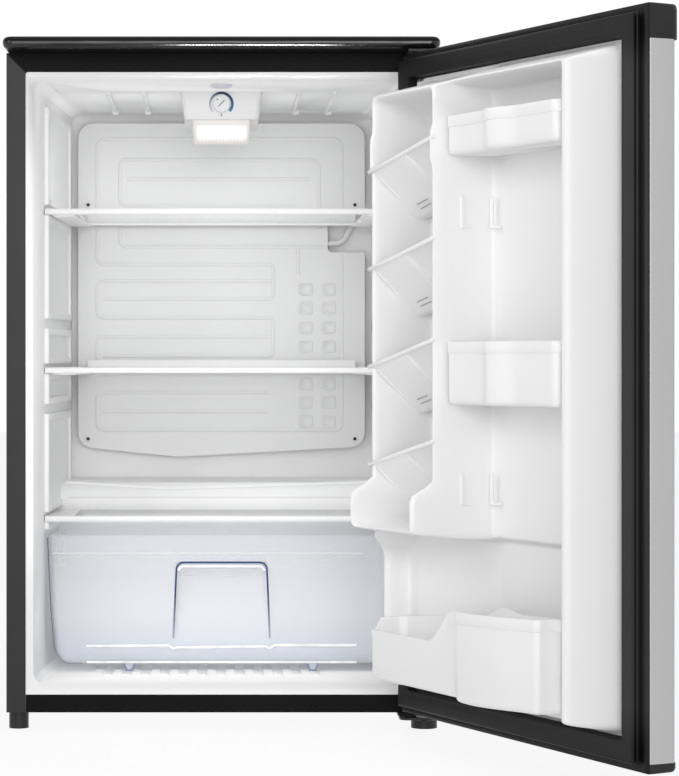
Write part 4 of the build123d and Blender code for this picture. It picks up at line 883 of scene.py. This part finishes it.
def bin_profile(banded):
    """Inset from the outline, share of the wall's height and millimetres, from the bottom up and then inside."""
    arc = np.linspace(0, math.pi / 2, 6)
    turn = [(BIN_BOTTOM_ROUND * (1 - math.sin(t)), BIN_BOTTOM_ROUND * (1 - math.cos(t))) for t in arc]
    outer = [(BIN_DRAFT + inset, 0, rise) for inset, rise in turn]
    band = [(1.1, 1, -RIM_BAND - 0.8), (1.3, 1, -RIM_BAND), (0.2, 1, -RIM_BAND + 0.5), (0, 1, -RIM_BAND + 1.2)]
    band = [(BIN_DRAFT + banded * (inset - BIN_DRAFT), share, rise) for inset, share, rise in band]
    rim = [(0, 1, -0.9), (0.4, 1, -0.2), (1.1, 1, 0), (1.8, 1, -0.2), (BIN_WALL, 1, -0.9)]
    wall = BIN_DRAFT + BIN_WALL
    return [*outer, *band, *rim, (wall, 0, 8), (wall + 1.6, 0, 4.2), (wall + 4.5, 0, BIN_WALL)]


def bin_form(name, outline, bottom, top, body, hides, banded=1.0):
    rings = []
    for inset, share, rise in bin_profile(banded):
        u, p = drawn_in(outline, inset).T
        rings.append(on_door(u, p, bottom + share * (top - bottom) + rise))
    return piece(name, *skin(rings), white_shell, body, hides, sharp=42)


small_plan = bin_outline(SMALL_BACK, small_front, 7)
bin_form("upper_bin_moulding", small_plan, 680, 724.0, "upper_bin", ["bin_upper"])
bin_form("middle_bin_moulding", small_plan, 402.5, 472.5, "middle_bin", ["bin_middle"])
print("upper bins, points around", len(small_plan))

# %% [markdown]
# The lowest bin has a dipped front on its shallow end, so its rim is a function of place: low along that front, higher
# at the end and back walls, and highest round the belly.

# %% Lowest bin
DIPPED_RIM = 137
BELLY = 262


def tall_rim(u, p):
    """The rim's height round the lowest bin."""
    wall = 150 + 14 * np.clip((u - 58) / 160, 0, 1) + 13 * smoothstep((u - 217) / 45)
    wall = wall + 6 * np.clip((u - BELLY) / 184, 0, 1)
    wall = wall - 6 * (1 - smoothstep((p - 40) / 30)) * smoothstep((u - BELLY) / 40)
    dip = smoothstep((p - 62) / 9) * (1 - smoothstep((u - 196) / 50))
    return wall + (DIPPED_RIM - wall) * dip


tall_plan = bin_outline(TALL_BACK, tall_front, 8)
u, p = tall_plan.T
tall_bottom = 79 + 5 * smoothstep((u - 300) / 146)
belly_only = smoothstep((tall_plan[:, :1] - BELLY) / 14)
bin_form("lower_bin_moulding", tall_plan, tall_bottom, tall_rim(u, p), "lower_bin", ["bin_lower"], belly_only)
print("lowest bin, points around", len(tall_plan))

# %% [markdown]
# ## Can cradles
# A cradle is a tilted trough with a bead along its lip. Its front wall slopes down into the door and turns up again in
# a round bottom. The section stays the same along the cradle and only climbs, so it is swept, with a step in its wall
# and a rib beside the step. Each cradle has an end wall of its own against the column.

# %% Can cradles
CRADLE_LIPS = (332, 445.5, 559, 672.5)
CRADLE_CLIMB, CLIMB_START = 31 / 148, 79
CRADLE_ENDS = (79.8, 210.4)
CRADLE_WALL, END_WALL, RIB_WALL = 2.4, 5.8, 2.2
STEP_PLACE, STEP_DEPTH, STEP_WAY = 150, 3.2, (-0.66, 0.75)
LIP_BEAD, LIP_PLACE = 2.5, 83.4
# Places along the lip, the bead's share of its radius there, and how far it stands out.
LIP_RINGS = [(70.6, 0.55, 2.2), (71.6, 1, 1.6), (110, 1, 0), (160, 1, 0), (217.4, 1, 0), (218.4, 0.6, 0)]
SLOTS = [(37.0, -43.8), (32.0, -48.6), (26.0, -53.2)]


def cradle_section():
    """The trough's middle line from its lip to the back of the column: p, and height from the lip."""
    arc = [(19 + 11 * math.cos(t), -44.5 + 11 * math.sin(t)) for t in np.linspace(-0.8, -2.2, 8)]
    return np.array([(83, 0), (78, -4.6), (60, -20.6), (42, -36.8), *arc, (8, -50)])


def thick_section(middle, wall):
    """A closed strip around a line."""
    run = np.gradient(middle, axis=0)
    normal = np.stack([-run[:, 1], run[:, 0]], axis=1) / np.linalg.norm(run, axis=1)[:, None]
    return np.concatenate([middle + normal * wall / 2, (middle - normal * wall / 2)[::-1]])


def climbing(u, p, z, lip):
    """A point of a cradle, which climbs as it goes along the door."""
    return on_door(u, p, lip + CRADLE_CLIMB * (u - CLIMB_START) + z)


def swept(outlines, places, lip):
    """A section that stands at places along a cradle."""
    return skin([climbing(u, *outline.T, lip) for u, outline in zip(places, outlines)])


def one_cradle(lip):
    middle = cradle_section()
    plain = thick_section(middle, CRADLE_WALL)
    stepped = (middle[:, 1:] < -2) & (middle[:, 1:] > -49)
    moved = thick_section(middle + np.array(STEP_WAY) * STEP_DEPTH * stepped, CRADLE_WALL)
    start, end = CRADLE_ENDS
    trough = swept([plain, plain, moved, moved], (start, STEP_PLACE, STEP_PLACE + 1.5, end), lip)
    angles = np.linspace(0, 2 * math.pi, 12, endpoint=False)
    round_bead = LIP_BEAD * np.stack([np.cos(angles), np.sin(angles)], axis=1)
    beading = [(LIP_PLACE + out, 0) + share * round_bead for _, share, out in LIP_RINGS]
    lip_bead = swept(beading, [u for u, _, _ in LIP_RINGS], lip)
    ends = thick_section(middle[1:-1], END_WALL)
    end_wall = swept([ends, ends], (start - 0.4, start + 2.2), lip)
    rib = thick_section(middle[1:7] - [0.5, 0.9], RIB_WALL)
    step_rib = swept([rib, rib], (STEP_PLACE - 9, STEP_PLACE - 6.5), lip)
    return joined([trough, lip_bead, end_wall, step_rib])


cradles = joined([one_cradle(lip) for lip in CRADLE_LIPS])
piece("can_cradle_mouldings", *cradles, white_shell, "door", ["can_cradles"], sharp=40)
# Painted shade: the slots in each trough's bottom are not cut, and grey beads stand where the shade inside them would
# be.
painted_slot_shade = Finish("painted_slot_shade", (0.42, 0.42, 0.425), 0.6)
slots = [climbing(np.linspace(100, 124, 5), p, z, lip) for lip in CRADLE_LIPS for p, z in SLOTS]
beads("can_cradle_slots", slots, 0.0009, painted_slot_shade, "door")
print("cradle faces", len(cradles[1]))

# %% [markdown]
# ## The door seal
# The seal is an extrusion with bellows: a flat magnet bag, a fold, and a thin flange that hides the edge of the metal.
# It is cut at the corners at 45 degrees and welded, so one profile goes round a rectangle with mitred corners.

# %% Door seal
DOOR_WIDTH, DOOR_LOW, DOOR_HIGH = 517, 27.5, 819.5
SEAL_PROFILE = [
    (33.5, 0.0), (31.6, 1.0), (31.2, 10.8), (30.6, 12.6), (29.4, 13.2), (28.0, 12.7), (26.4, 13.2), (18.0, 13.7),
    (12.6, 13.5), (10.6, 13.2), (9.7, 12.2), (9.9, 10.6), (12.4, 9.6), (12.6, 8.8), (9.4, 8.2), (8.6, 7.2),
    (9.2, 6.2), (12.6, 5.4), (12.6, 2.4), (6.0, 1.9), (4.6, 2.8), (2.6, 2.7), (1.0, 1.8), (0.3, 0.6),
    (0.1, -0.8), (0.3, -1.6), (2.4, -1.6),
]
seal_rings = []
for margin, p in SEAL_PROFILE:
    u, z = rectangle(margin, DOOR_WIDTH - margin, DOOR_LOW + margin, DOOR_HIGH - margin, 0).T
    seal_rings.append(on_door(u, p, z))
seal = skin([*seal_rings, seal_rings[0]], cap=False)
piece("door_seal", *seal, black_rubber, "door", ["door_gasket"], "gasket_rubber", sharp=50)
print("seal rings", len(seal_rings))

# %% [markdown]
# ## Door skin and caps
# The silver skin is one bent sheet: across the front, round both edges and a few millimetres back over the inner face.
# Black caps close it at the top and the bottom and stand a little proud of it, round towards the front.

# %% Door skin and caps
SKIN_LOW, SKIN_HIGH, SKIN_SHEET = 37.5, 783, 0.8
SKIN_FRONT, SKIN_BACK, SKIN_RETURN = -34.3, -1.7, 9
# Each cap: its name, the solid it stands for, its front, and levels of height and inset.
CAPS = [
    ("door_top_cap", "door_top_trim", -38.5,
     [(782.5, 0.8), (783.3, 0), (814, 0), (817, 0.6), (818.7, 1.8), (819.5, 3.6)]),
    ("door_bottom_cap", "door_bottom_trim", -36.6,
     [(27.5, 3.6), (28.3, 1.8), (30, 0.6), (32, 0), (37.2, 0), (38, 0.8)]),
]


def bent(inset):
    """The skin's bends seen from above, for one side of its sheet."""
    near, far = inset, DOOR_WIDTH - inset
    front, back = SKIN_FRONT + inset, SKIN_BACK - inset
    bends = [(far - SKIN_RETURN, back, 0), (far, back, 1.2 - inset), (far, front, 5 - inset)]
    bends += [(near, front, 5 - inset), (near, back, 1.2 - inset), (near + SKIN_RETURN, back, 0)]
    return open_path(bends)


u, p = np.concatenate([bent(0), bent(SKIN_SHEET)[::-1]]).T
skin_form = skin([on_door(u, p, z) for z in (SKIN_LOW, SKIN_HIGH)])
piece("door_sheet", *skin_form, silver_paint, "door", ["door_skin"], "silver_skin")
for name, solid, front, levels in CAPS:
    plan = evenly(rounded([(0, 0, 1.5), (DOOR_WIDTH, 0, 1.5), (DOOR_WIDTH, front, 7), (0, front, 7)]), 3)
    share = np.clip(plan[:, 1:] / front, 0.2, 1)
    rings = []
    for z, inset in levels:
        u, p = (plan + share * (drawn_in(plan, inset) - plan)).T
        rings.append(on_door(u, p, z))
    piece(name, *skin(rings), black_plastic, "door", [solid], "black_plastic")
print("skin from", SKIN_LOW, "to", SKIN_HIGH, "caps", len(CAPS))

# %% [markdown]
# ## Seats for the bins
# The bins can hang at other heights, from small seats on the wall beside the cans. Each seat is a raised L, and one
# tree sets the copies.

# %% Bin seats
SEAT = [(-2, 0, 0.8), (12, 0, 0.8), (12, 3, 0.8), (2, 3, 1.5), (2, 36, 0.8), (-2, 36, 0.8)]
SEAT_LAYERS = [(-1, 0), (1.2, 0), (2.0, 0.6)]
SEAT_HEIGHTS = (289, 599.5)


def seat(facing):
    """A raised L on a wall that faces an angle, 0 away from the hinge and 90 out of the door."""
    c, s = math.cos(math.radians(facing)), math.sin(math.radians(facing))

    def on_wall(along, up, rise):
        return on_door(c * rise + s * along, s * rise - c * along, up) - on_door(0, 0, 0)

    return stacked(evenly(rounded(SEAT, 3), 1.5), SEAT_LAYERS, on_wall)


for name, facing, u, p in (("bin_seats_outer", 0, 219.5, 47), ("bin_seats_inner", 47, 231.5, 15)):
    copies(name, seat(facing), [on_door(u, p, z) for z in SEAT_HEIGHTS], white_shell, "door")
print("seats at", SEAT_HEIGHTS)

# %% [markdown]
# ## The drawer
# The drawer is a clear tub with soft edges. Its front wall carries a finger hollow, deep under its top edge and
# flush at its foot. Rings of the wall's outside and inside make one skin, so the wall has a true thickness.

# %% Drawer
TUB_LOW, TUB_HIGH, TUB_WALL, TUB_ROUND = 68, 231, 2.2, 20
TUB_FRONT, TUB_REAR, TUB_TAPER, TUB_CORNER = 102, 250, 9.4, 14
TUB_LEVELS, TUB_HALVES = (68, 86, 142, 200, 231), (208.0, 210.3, 215.0, 217.6, 218.3)
GRIP_IN, GRIP_HALF, GRIP_FOOT, GRIP_RISE, GRIP_TOP, GRIP_SOFT = 18, 60.5, 96, 92, 197.5, 4
LIP_OUT = 0.7


def grip_depth(x, z):
    """How far the finger hollow pushes the front wall in."""
    half = GRIP_HALF - 4 * (z - 100) / 97
    across = smoothstep((half - np.abs(x)) / GRIP_SOFT)
    return GRIP_IN * across * smoothstep((GRIP_TOP - z) / GRIP_SOFT) * np.clip((z - GRIP_FOOT) / GRIP_RISE, 0, 1)


def tub_ring(z, inset):
    """The tub's outline at a height, bowed a little and narrower at its rear."""
    half = np.interp(z, TUB_LEVELS, TUB_HALVES) - inset
    rear = half - TUB_TAPER
    corner = max(TUB_CORNER - inset, 3)
    plan = [(-half, TUB_FRONT + inset), (half, TUB_FRONT + inset), (rear, TUB_REAR - inset), (-rear, TUB_REAR - inset)]
    x, y = evenly(rounded([(*point, corner) for point in plan]), 0, count=380).T
    return in_cabinet(x, y + np.where(y < 150, grip_depth(x, z), 0), z)


def tub_rings(wall):
    """Rings of one side of the tub's wall, from the bottom up."""
    radius = TUB_ROUND - wall
    levels = []
    for turn in np.radians((0, 15, 30, 45, 60, 75)):
        levels.append((TUB_LOW + wall + radius * (1 - math.cos(turn)), wall + radius * (1 - math.sin(turn))))
    levels += [(z, wall) for z in np.linspace(TUB_LOW + TUB_ROUND, TUB_HIGH - 5, 46)]
    lip = wall or -LIP_OUT
    return [tub_ring(z, inset) for z, inset in [*levels, (TUB_HIGH - 3.5, lip), (TUB_HIGH, lip)]]


crystal = Finish("crystal", (0.88, 0.92, 1.0), 0.1, Specular_IOR_Level=0.12)
level = crystal.axis("Z")
crystal.tint(level.smooth(0.09, 0.13), (0.95, 0.96, 0.99)).rough(0.08, 25, 0.05)
crystal.vary("Alpha", 0.34 - level.smooth(0.1, 0.225) * 0.1 + crystal.facing(0.3) * 0.2)
tub = skin(tub_rings(0) + tub_rings(TUB_WALL)[::-1])
piece("drawer_tub", *tub, crystal, "drawer", ["crisper_drawer"], "clear_plastic")
print("drawer faces", len(tub[1]))

# %% [markdown]
# Clear plastic leads light along its walls and lets it out at its edges, so these show as blue and white lines. True
# refraction could draw them, but slowly and with noise, so they are thin beads that paint this light: blue edges,
# white lines as painted highlights, and folds with a faint painted glow.

# %% Drawer edges
blue_edge = Finish("blue_edge", (0.03, 0.065, 0.2), 0.2, Specular_IOR_Level=0.1)
blue_edge.vary("Alpha", 0.25 + blue_edge.axis("Z").smooth(0.1, 0.19) * 0.75)
highlight_edge = Finish("highlight_edge", (0.92, 0.92, 0.93), 0.4)
highlight_edge.vary("Alpha", 0.8 + highlight_edge.noise(30) * 0.2)
# Painted light: the folds glow faintly, more or less along a noise.
glowing_fold = Finish("glowing_fold", (0.92, 0.92, 0.93), 0.4, Emission_Strength=0.2)
glowing_fold.vary("Emission Color", glowing_fold.noise(60).smooth(0.3, 0.7))
glowing_fold.vary("Alpha", 0.75 + glowing_fold.noise(45) * 0.25)
GRIP_EDGE = [(-60.5, 102, 0), (-56.3, 197, 9), (56.8, 197, 9), (60.8, 102, 0)]
SIDE_EDGE = [(-218.5, 228, 0), (-217.4, 200, 60), (-214.8, 142, 90), (-210, 88, 40), (-198, 68.6, 8), (-176, 68.4, 0)]
EDGE_LINES = [
    [(-212, 208.5, 0), (178, 208.5, 0)],
    [(-51, 180.5, 0), (51, 180.5, 0)],
]
FOLD_LINES = [
    [(-54, 187, 0), (-51, 192.3, 5), (51, 192.3, 5), (54, 187, 0)],
    [(-170, 92, 0), (-66, 92.6, 4), (-61, 88.5, 3), (-56, 90, 4),
     (56, 91.5, 4), (61, 88.5, 3), (66, 93, 4), (170, 93, 0)],
    [(-170, 70.8, 0), (170, 70.8, 0)],
]


def turned_under(z):
    """0 on the upright wall and 1 at the foot of its round."""
    return smoothstep((TUB_LOW + TUB_ROUND - z) / TUB_ROUND)


def line_depth(x, z):
    """Where a white line lies: on the wall, on its round or in the finger hollow."""
    return 101.6 + 10.4 * turned_under(z) + grip_depth(x, z) * (z < 182)


side = cabinet_path(SIDE_EDGE, lambda x, z: TUB_FRONT + 16 * turned_under(z))
DRAWER_LINES = [
    ("drawer_grip_edge", [cabinet_path(GRIP_EDGE, TUB_FRONT)], 0.0011, blue_edge),
    ("drawer_side_edges", [side * (-1, 1, 1), side], 0.0005, blue_edge),
    ("drawer_light_edges", [cabinet_path(line, line_depth, 3) for line in EDGE_LINES], 0.0008, highlight_edge),
    ("drawer_light_folds", [cabinet_path(line, line_depth, 3) for line in FOLD_LINES], 0.0016, glowing_fold),
]
for name, paths, radius, finish in DRAWER_LINES:
    beads(name, paths, radius, finish, "drawer", slot="clear_plastic")
print("drawer lines", len(DRAWER_LINES))

# %% [markdown]
# Two small feet with cut corners carry the drawer. They are one shape on two points, with a dark blue edge line each,
# painted like the drawer's edges.

# %% Drawer feet
FOOT_PLACES, FOOT_LOW = (-116.3, 115), 58.4
FOOT = [(-7, 80), (7, 80), (7, 68), (4.5, 63.5), (3.6, 58.4), (-3.6, 58.4), (-4.5, 63.5), (-7, 68)]
FOOT_EDGE = [(-7, 69), (-4.5, 63.5), (-3.6, 60.5), (3.6, 60.5), (4.5, 63.5), (7, 69)]
foot = upright(np.array(FOOT) - (0, FOOT_LOW), [(424, 0), (436, 0)])
places = [in_cabinet(x, 118, FOOT_LOW) for x in FOOT_PLACES]
copies("drawer_feet", foot, places, crystal, "drawer", slot="clear_plastic")
# Painted edge light: a dark blue line along each clear foot's lower edge, as on the drawer.
foot_edge = Finish("foot_edge", (0.16, 0.22, 0.4), 0.3)
x, z = np.array(FOOT_EDGE).T
outlines = [in_cabinet(x + place, 111.6, z) for place in FOOT_PLACES]
beads("drawer_foot_edges", outlines, 0.0009, foot_edge, "drawer", slot="clear_plastic")
print("drawer feet", len(places))

# %% [markdown]
# ## The evaporator plate
# Refrigerant runs between two sheets that are bonded and blown up along a pattern, so the cold plate shows its
# channels as low embossed lines. The plate's lower edge falls to a tip where water drips into the gutter.

# %% Evaporator plate
PLATE_FRONT = 402
PLATE_OUTLINE = [
    (-196.9, 776, 22), (196.9, 776, 22), (196.9, 651, 0), (146, 651, 0), (146, 599, 6), (196.9, 599, 2),
    (196.9, 332, 22), (-61, 318, 60), (-196.9, 332, 22),
]
PLATE_LAYERS = [(403.6, 0), (402.5, 0), (402.0, 0.5)]
plate = upright(evenly(rounded(PLATE_OUTLINE), 2.5), PLATE_LAYERS)
piece("cold_plate", *plate, white_coat, "cabinet", ["evaporator_plate"], "white_aluminium")
print("plate faces", len(plate[1]))

# %% [markdown]
# Each channel is a path with round corners. A bead along it, pressed flat against the plate, stands as low as a channel
# that was blown up between two sheets.

# %% Evaporator channels
CHANNELS = [
    [(96, 355, 0), (165, 355, 8), (165, 596, 0)],
    [(165, 655, 0), (165, 754.5, 12), (-170.5, 754.5, 12), (-170.5, 582, 9),
     (71, 582, 6), (71, 535, 6), (-163, 535, 0)],
    [(68, 559.5, 0), (-170.5, 559.5, 9), (-170.5, 509, 9), (71, 509, 6), (71, 456.6, 6), (-163, 456.6, 0)],
    [(64, 483, 0), (-170.5, 483, 9), (-170.5, 431, 9), (66, 431, 0)],
    [(64, 406.5, 0), (-163, 406.5, 0)],
    [(64, 380.5, 0), (-163, 380.5, 0)],
    [(94, 355, 0), (-170.5, 355, 9), (-170.5, 403, 0)],
    [(101, 663, 0), (-139.3, 663, 9), (-139.3, 726, 9), (134, 726, 12), (134, 630, 0)],
    [(-130, 699.5, 0), (122, 699.5, 0)],
    [(141, 606.5, 0), (-139.3, 606.5, 9), (-139.3, 635, 0)],
    [(105, 606, 0), (105, 568, 0)],
]
TUBE = [(136, 610.5, 0), (166, 612.5, 15), (179, 636, 22), (182, 668, 0)]
paths = [cabinet_path(line, PLATE_FRONT) for line in CHANNELS]
plane = (PLATE_FRONT - FACE_DEPTH) / 1000
beads("cold_plate_channels", paths, 0.0024, white_coat, "cabinet", 0.42, plane, slot="white_aluminium")
tube = [cabinet_path(TUBE, 408)]
beads("cold_plate_tube", tube, 0.004, white_coat, "cabinet", hides=["suction_tube"], slot="white_aluminium")
print("channels", len(CHANNELS))

# %% [markdown]
# The ladder of small cells and the four screws repeat, so a tree copies one of each.

# %% Evaporator ladder and screws
CELL_LAYERS = [(430.3, 0), (429.2, 0.6), (428.9, 2.0), (429.6, 3.2)]
CELL_COLUMNS, CELL_ROWS = (115.5, 147), (548, 522.5, 496, 470, 444, 418, 393, 367)
cell = upright(evenly(rectangle(-10, 10, -9, 9, 4), 2), CELL_LAYERS)
ladder = [in_cabinet(x, PLATE_FRONT, z) for x in CELL_COLUMNS for z in CELL_ROWS]
copies("cold_plate_ladder", cell, ladder, white_coat, "cabinet", slot="white_aluminium")
screws = [in_cabinet(x, PLATE_FRONT, z) for x in (-183, 183) for z in (664, 343)]
head = turned([(4.2, 0.2), (4.2, -0.9), (3.4, -1.6), (2.4, -1.7), (2.2, -0.6)])
socket = turned([(2.3, -0.3), (2.3, -1.2), (1.2, -1.3)], 12)
copies("cold_plate_screws", head, screws, white_coat, "cabinet", hides=["evaporator_screws"], slot="plain_steel")
# Painted shade: a black disc fills the recess of each screw head.
copies("cold_plate_sockets", socket, screws, black_paint, "cabinet", slot="plain_steel")
print("cells", len(ladder), "screws", len(screws))

# %% [markdown]
# ## The control unit
# A white housing hangs under the ceiling. It carries the dial, with a printed arc that grows wider and bluer towards
# cold, a knob with a coin slot, and a lens that glows with the bulb behind it.

# %% Control housing and lens
# Levels of height, half width, front, rear and corner radius, up the inside and down the outside.
HOUSING_LEVELS = [
    (788, 37.3, 121.2, 241, 3), (756.2, 37.3, 121.2, 241, 3), (755, 38, 120.4, 242, 3.4), (755, 45.6, 119, 284, 5),
    (756, 46.6, 117, 285.4, 6), (758, 47.4, 116.2, 286, 6), (783, 51, 116, 286, 6), (791, 52.4, 116, 286, 6),
]
LENS_LEVELS = [
    (756, 37.0, 121.4, 240.8, 3), (744, 36.6, 121.4, 240, 3), (738, 36.2, 121.6, 238, 3), (731, 35.4, 121.9, 190, 3),
    (727, 34.8, 122.3, 152, 3), (725.4, 34.2, 123.2, 138, 3), (724.8, 33.2, 124.6, 132, 3),
]


def boxed(levels):
    """A form from round-cornered levels, one above the other."""
    rings = []
    for z, half, front, rear, radius in levels:
        x, y = rectangle(-half, half, front, rear, radius).T
        rings.append(in_cabinet(x, y, z))
    return skin(rings)


piece("control_shell", *boxed(HOUSING_LEVELS), white_coat, "cabinet", ["control_housing"])
lens_glow = Finish("lens_glow", (0.46, 0.43, 0.41), 0.25, Emission_Strength=0.6)
height, aside = lens_glow.axis("Z"), lens_glow.axis("X").math("ABSOLUTE")
lit = (1 - height.smooth(0.744, 0.75)) * height.smooth(0.7265, 0.733) * (1 - aside.smooth(0.028, 0.033))
lens_glow.vary("Emission Color", (0.42 + lit * 0.6) * (0.9 + lens_glow.noise(90) * 0.2))
piece("lamp_lens", *boxed(LENS_LEVELS), lens_glow, "cabinet", ["light_lens"], "clear_plastic")
rib = upright(evenly(rectangle(-1.1, 1.1, -1.7, 1.7, 0.5), 0.6), [(430.3, 0), (429.5, 0), (429.2, 0.3)])
ribs = [in_cabinet(x, 122, 730.4) for x in np.linspace(-29, 29, 14)]
copies("lamp_lens_ribs", rib, ribs, white_coat, "cabinet", slot="clear_plastic")
print("lens ribs", len(ribs))

# %% [markdown]
# The dial is print, so its arc stands only a hair proud of the housing, and a ramp over the angle gives it its blues.
# The knob is a turned form with a slot and a dot. The slot is not cut: a grey bar a hair proud of its face
# paints the shade inside it. The dot and the tick are print.

# %% Dial and knob
DIAL, ARC_RADIUS, ARC_END = 775, 15.4, 132
ARC_DEPTHS = [115.4, 115.4, 116.1, 116.1]
SHADES = [
    (0.0, (0.42, 0.45, 0.52)), (0.28, (0.14, 0.18, 0.3)), (0.5, (0.008, 0.03, 0.1)),
    (0.75, (0.006, 0.06, 0.19)), (1.0, (0.02, 0.2, 0.36)),
]
KNOB = [(11.2, 118), (11.2, 108.4), (10.8, 107.3), (10.1, 106.8), (9.5, 106.8), (9.1, 107.4)]
SLOT_TURN = np.array([(0.7, 0.72), (-0.72, 0.7)])
dial_ink = Finish("dial_ink", (0.02, 0.07, 0.2), 0.5)
angle = dial_ink.axis("X").math("ARCTAN2", dial_ink.axis("Z") - DIAL / 1000)
shade = dial_ink.add("ShaderNodeValToRGB", {0: angle / 4.6 + 0.5})
ramp = shade.socket.node.color_ramp.elements
while len(ramp) < len(SHADES):
    ramp.new(0.5)
for element, (place, colour) in zip(ramp, SHADES):
    element.position = place
    element.color = (*colour, 1)
dial_ink.vary("Base Color", shade)
arc = []
for turn in np.radians(np.linspace(-ARC_END, ARC_END, 67)):
    inner = ARC_RADIUS - 1.1 - 2.2 * smoothstep((turn + 2.3) / 2.8)
    radius = np.array([inner, ARC_RADIUS, ARC_RADIUS, inner])
    arc.append(in_cabinet(radius * math.sin(turn), ARC_DEPTHS, DIAL + radius * math.cos(turn)))
piece("dial_arc", *skin(arc), dial_ink, "cabinet", ["dial_scale"], "blue_print")

ink_and_slot_shade = Finish("ink_and_slot_shade", (0.2, 0.21, 0.23), 0.5)
points, faces = turned(KNOB, 48)
piece("knob_disc", points + in_cabinet(0, 0, DIAL), faces, white_coat, "knob", ["thermostat_knob"])
# Painted shade: the coin slot is a grey bar on the knob's face, not a groove.
coin_slot = rectangle(-5.6, 5.6, -0.6, 0.6, 0.5, 3) @ SLOT_TURN + (0, DIAL)
slot_form = upright(coin_slot, [(107.7, 0), (107.1, 0)])
dot, dot_faces = turned([(1.0, 107.7), (1.0, 107.2), (0.6, 107.0)], 12)
marks = joined([slot_form, (dot + in_cabinet(-5.2, 0, DIAL + 4.8), dot_faces)])
piece("knob_marks", *marks, ink_and_slot_shade, "knob", slot="blue_print")
tick = upright(rectangle(-0.7, 0.7, -1.4, 1.4, 0.6, 3) + (0, 760.8), [(116.4, 0), (115.6, 0)])
piece("dial_tick", *tick, ink_and_slot_shade, "cabinet", slot="blue_print")
print("dial at", DIAL, "shades", len(SHADES))

# %% [markdown]
# ## Small forms in the cabinet
# Raised pads on the floor keep the drawer out of spilt water, blocks end the ribs of the ceiling, and cross ribs
# stiffen the side frames of the shelves from below. All of them repeat, so a tree copies them.

# %% Repeated forms
FLOOR, CEILING = 58, 791
PAD_PITCH, PAD_START, PAD_COUNT = 23.6, -154, 12
PAD_ROWS = [(150, 0), (98, 11.8)]


def pad(wide, deep, high, edge):
    """A low block with a soft top, centred on its foot."""
    layers = [(-0.4, 0), (high * 0.5, 0), (high * 0.85, 0.3 * edge), (high, 0.8 * edge)]
    outline = rectangle(-wide, wide, -deep, deep, edge, 3)
    return stacked(outline, layers, lambda x, y, rise: in_cabinet(x, FACE_DEPTH + y, rise))


def flipped(shape):
    """The same form, hanging."""
    return shape[0] * (1, 1, -1), shape[1]


pads = [in_cabinet(PAD_START + PAD_PITCH * i + shift, y, FLOOR) for y, shift in PAD_ROWS for i in range(PAD_COUNT)]
copies("floor_pads", pad(5.8, 24, 1.6, 1.2), pads, white_shell, "cabinet")
blocks = [in_cabinet(x, 369, CEILING) for x in (-144, -100, 101, 145)]
copies("ceiling_blocks", flipped(pad(4.5, 5, 6.5, 1.5)), blocks, white_shell, "cabinet")
for shelf, height in (("upper_shelf", 635), ("lower_shelf", 435)):
    places = [in_cabinet(side * (203 - 0.03 * y), y, height) for side in (-1, 1) for y in range(128, 380, 34)]
    copies(shelf + "_ribs", flipped(pad(14, 7, 2.4, 1.5)), places, white_shell, shelf)
print("pads", len(pads), "blocks", len(blocks), "ribs on each shelf", len(places))

# %% [markdown]
# Each shelf frame has a round nose in front, where a hand takes it. A bead along a straight path is enough for that.

# %% Shelf noses
for shelf, height in (("upper_shelf", 638.5), ("lower_shelf", 438.5), ("crisper_cover", 251.5)):
    nose = in_cabinet(np.linspace(-219, 219, 12), 104.6, height)
    beads(shelf + "_nose", [nose], 0.0034, white_shell, shelf)
    print(shelf, "nose at", height)

# %% [markdown]
# ## The liner's edges
# The liner is drawn over a mould as well, so the rails on its side walls have rolled edges. A copy of the solid's mesh
# gets them from a bevel. A gutter lip, lowest left of the middle, leads the water away from the cold plate.

# %% Liner
SHARP_EDGE = 0.4
GUTTER_DEPTH = 258
GUTTER = [[(-205, 290, 0), (-68, 282, 90), (205, 290.5, 0)], [(-203, 272, 0), (203, 272, 0)]]


def rolled(solid, width, chosen):
    """A copy of a solid's mesh, with the chosen edges rolled over."""
    form = bmesh.new()
    form.from_mesh(NODES[solid].data)
    form.transform(NODES[solid].matrix_world)
    bmesh.ops.remove_doubles(form, verts=form.verts, dist=1e-5)
    bmesh.ops.dissolve_limit(form, angle_limit=math.radians(1), verts=form.verts, edges=form.edges)
    sharp = [e for e in form.edges if len(e.link_faces) == 2 and abs(e.calc_face_angle()) > SHARP_EDGE]
    edges = [e for e in sharp if chosen((e.verts[0].co + e.verts[1].co) / 2)]
    bmesh.ops.bevel(form, geom=edges, offset=width, segments=3, profile=0.5, affect="EDGES", clamp_overlap=True)
    mesh = bpy.data.meshes.new(solid + "_rolled")
    form.to_mesh(mesh)
    form.free()
    print(solid, "edges rolled", len(edges))
    return mesh


def on_rails(place):
    return abs(place.x) > 0.19 and -0.326 < place.y < -0.065 and place.z > 0.235


dressed("cabinet_inner", rolled("cabinet_liner", 0.0024, on_rails), white_shell, "cabinet", ["cabinet_liner"])
gutter = [cabinet_path(line, GUTTER_DEPTH, 8) for line in GUTTER]
beads("gutter_lip", gutter, 0.0022, white_shell, "cabinet", 0.7, (GUTTER_DEPTH - FACE_DEPTH) / 1000)

# %% [markdown]
# A faint half round at the front of the ceiling is taken for the lamp's switch. Mitred joints show as thin dark lines
# where the bars of the cabinet's front meet.

# %% Lamp switch and corner joints
switch_grey = Finish("switch_grey", (0.68, 0.68, 0.74), 0.4)
points, faces = turned([(13, -1), (13, 2.4), (11.5, 3.8), (8, 4.6)])
points = points[:, (0, 2, 1)] * (1, 1, -1) + in_cabinet(0, 34, CEILING)
piece("lamp_switch", points, faces, switch_grey, "cabinet")
joints = [in_cabinet(side * np.array([237.5, 261.3]), 0.7, [801.5, 825.2]) for side in (-1, 1)]
beads("corner_joints", joints, 0.0009, black_shade, "cabinet", slot="black_steel")
print("corner joints", len(joints))
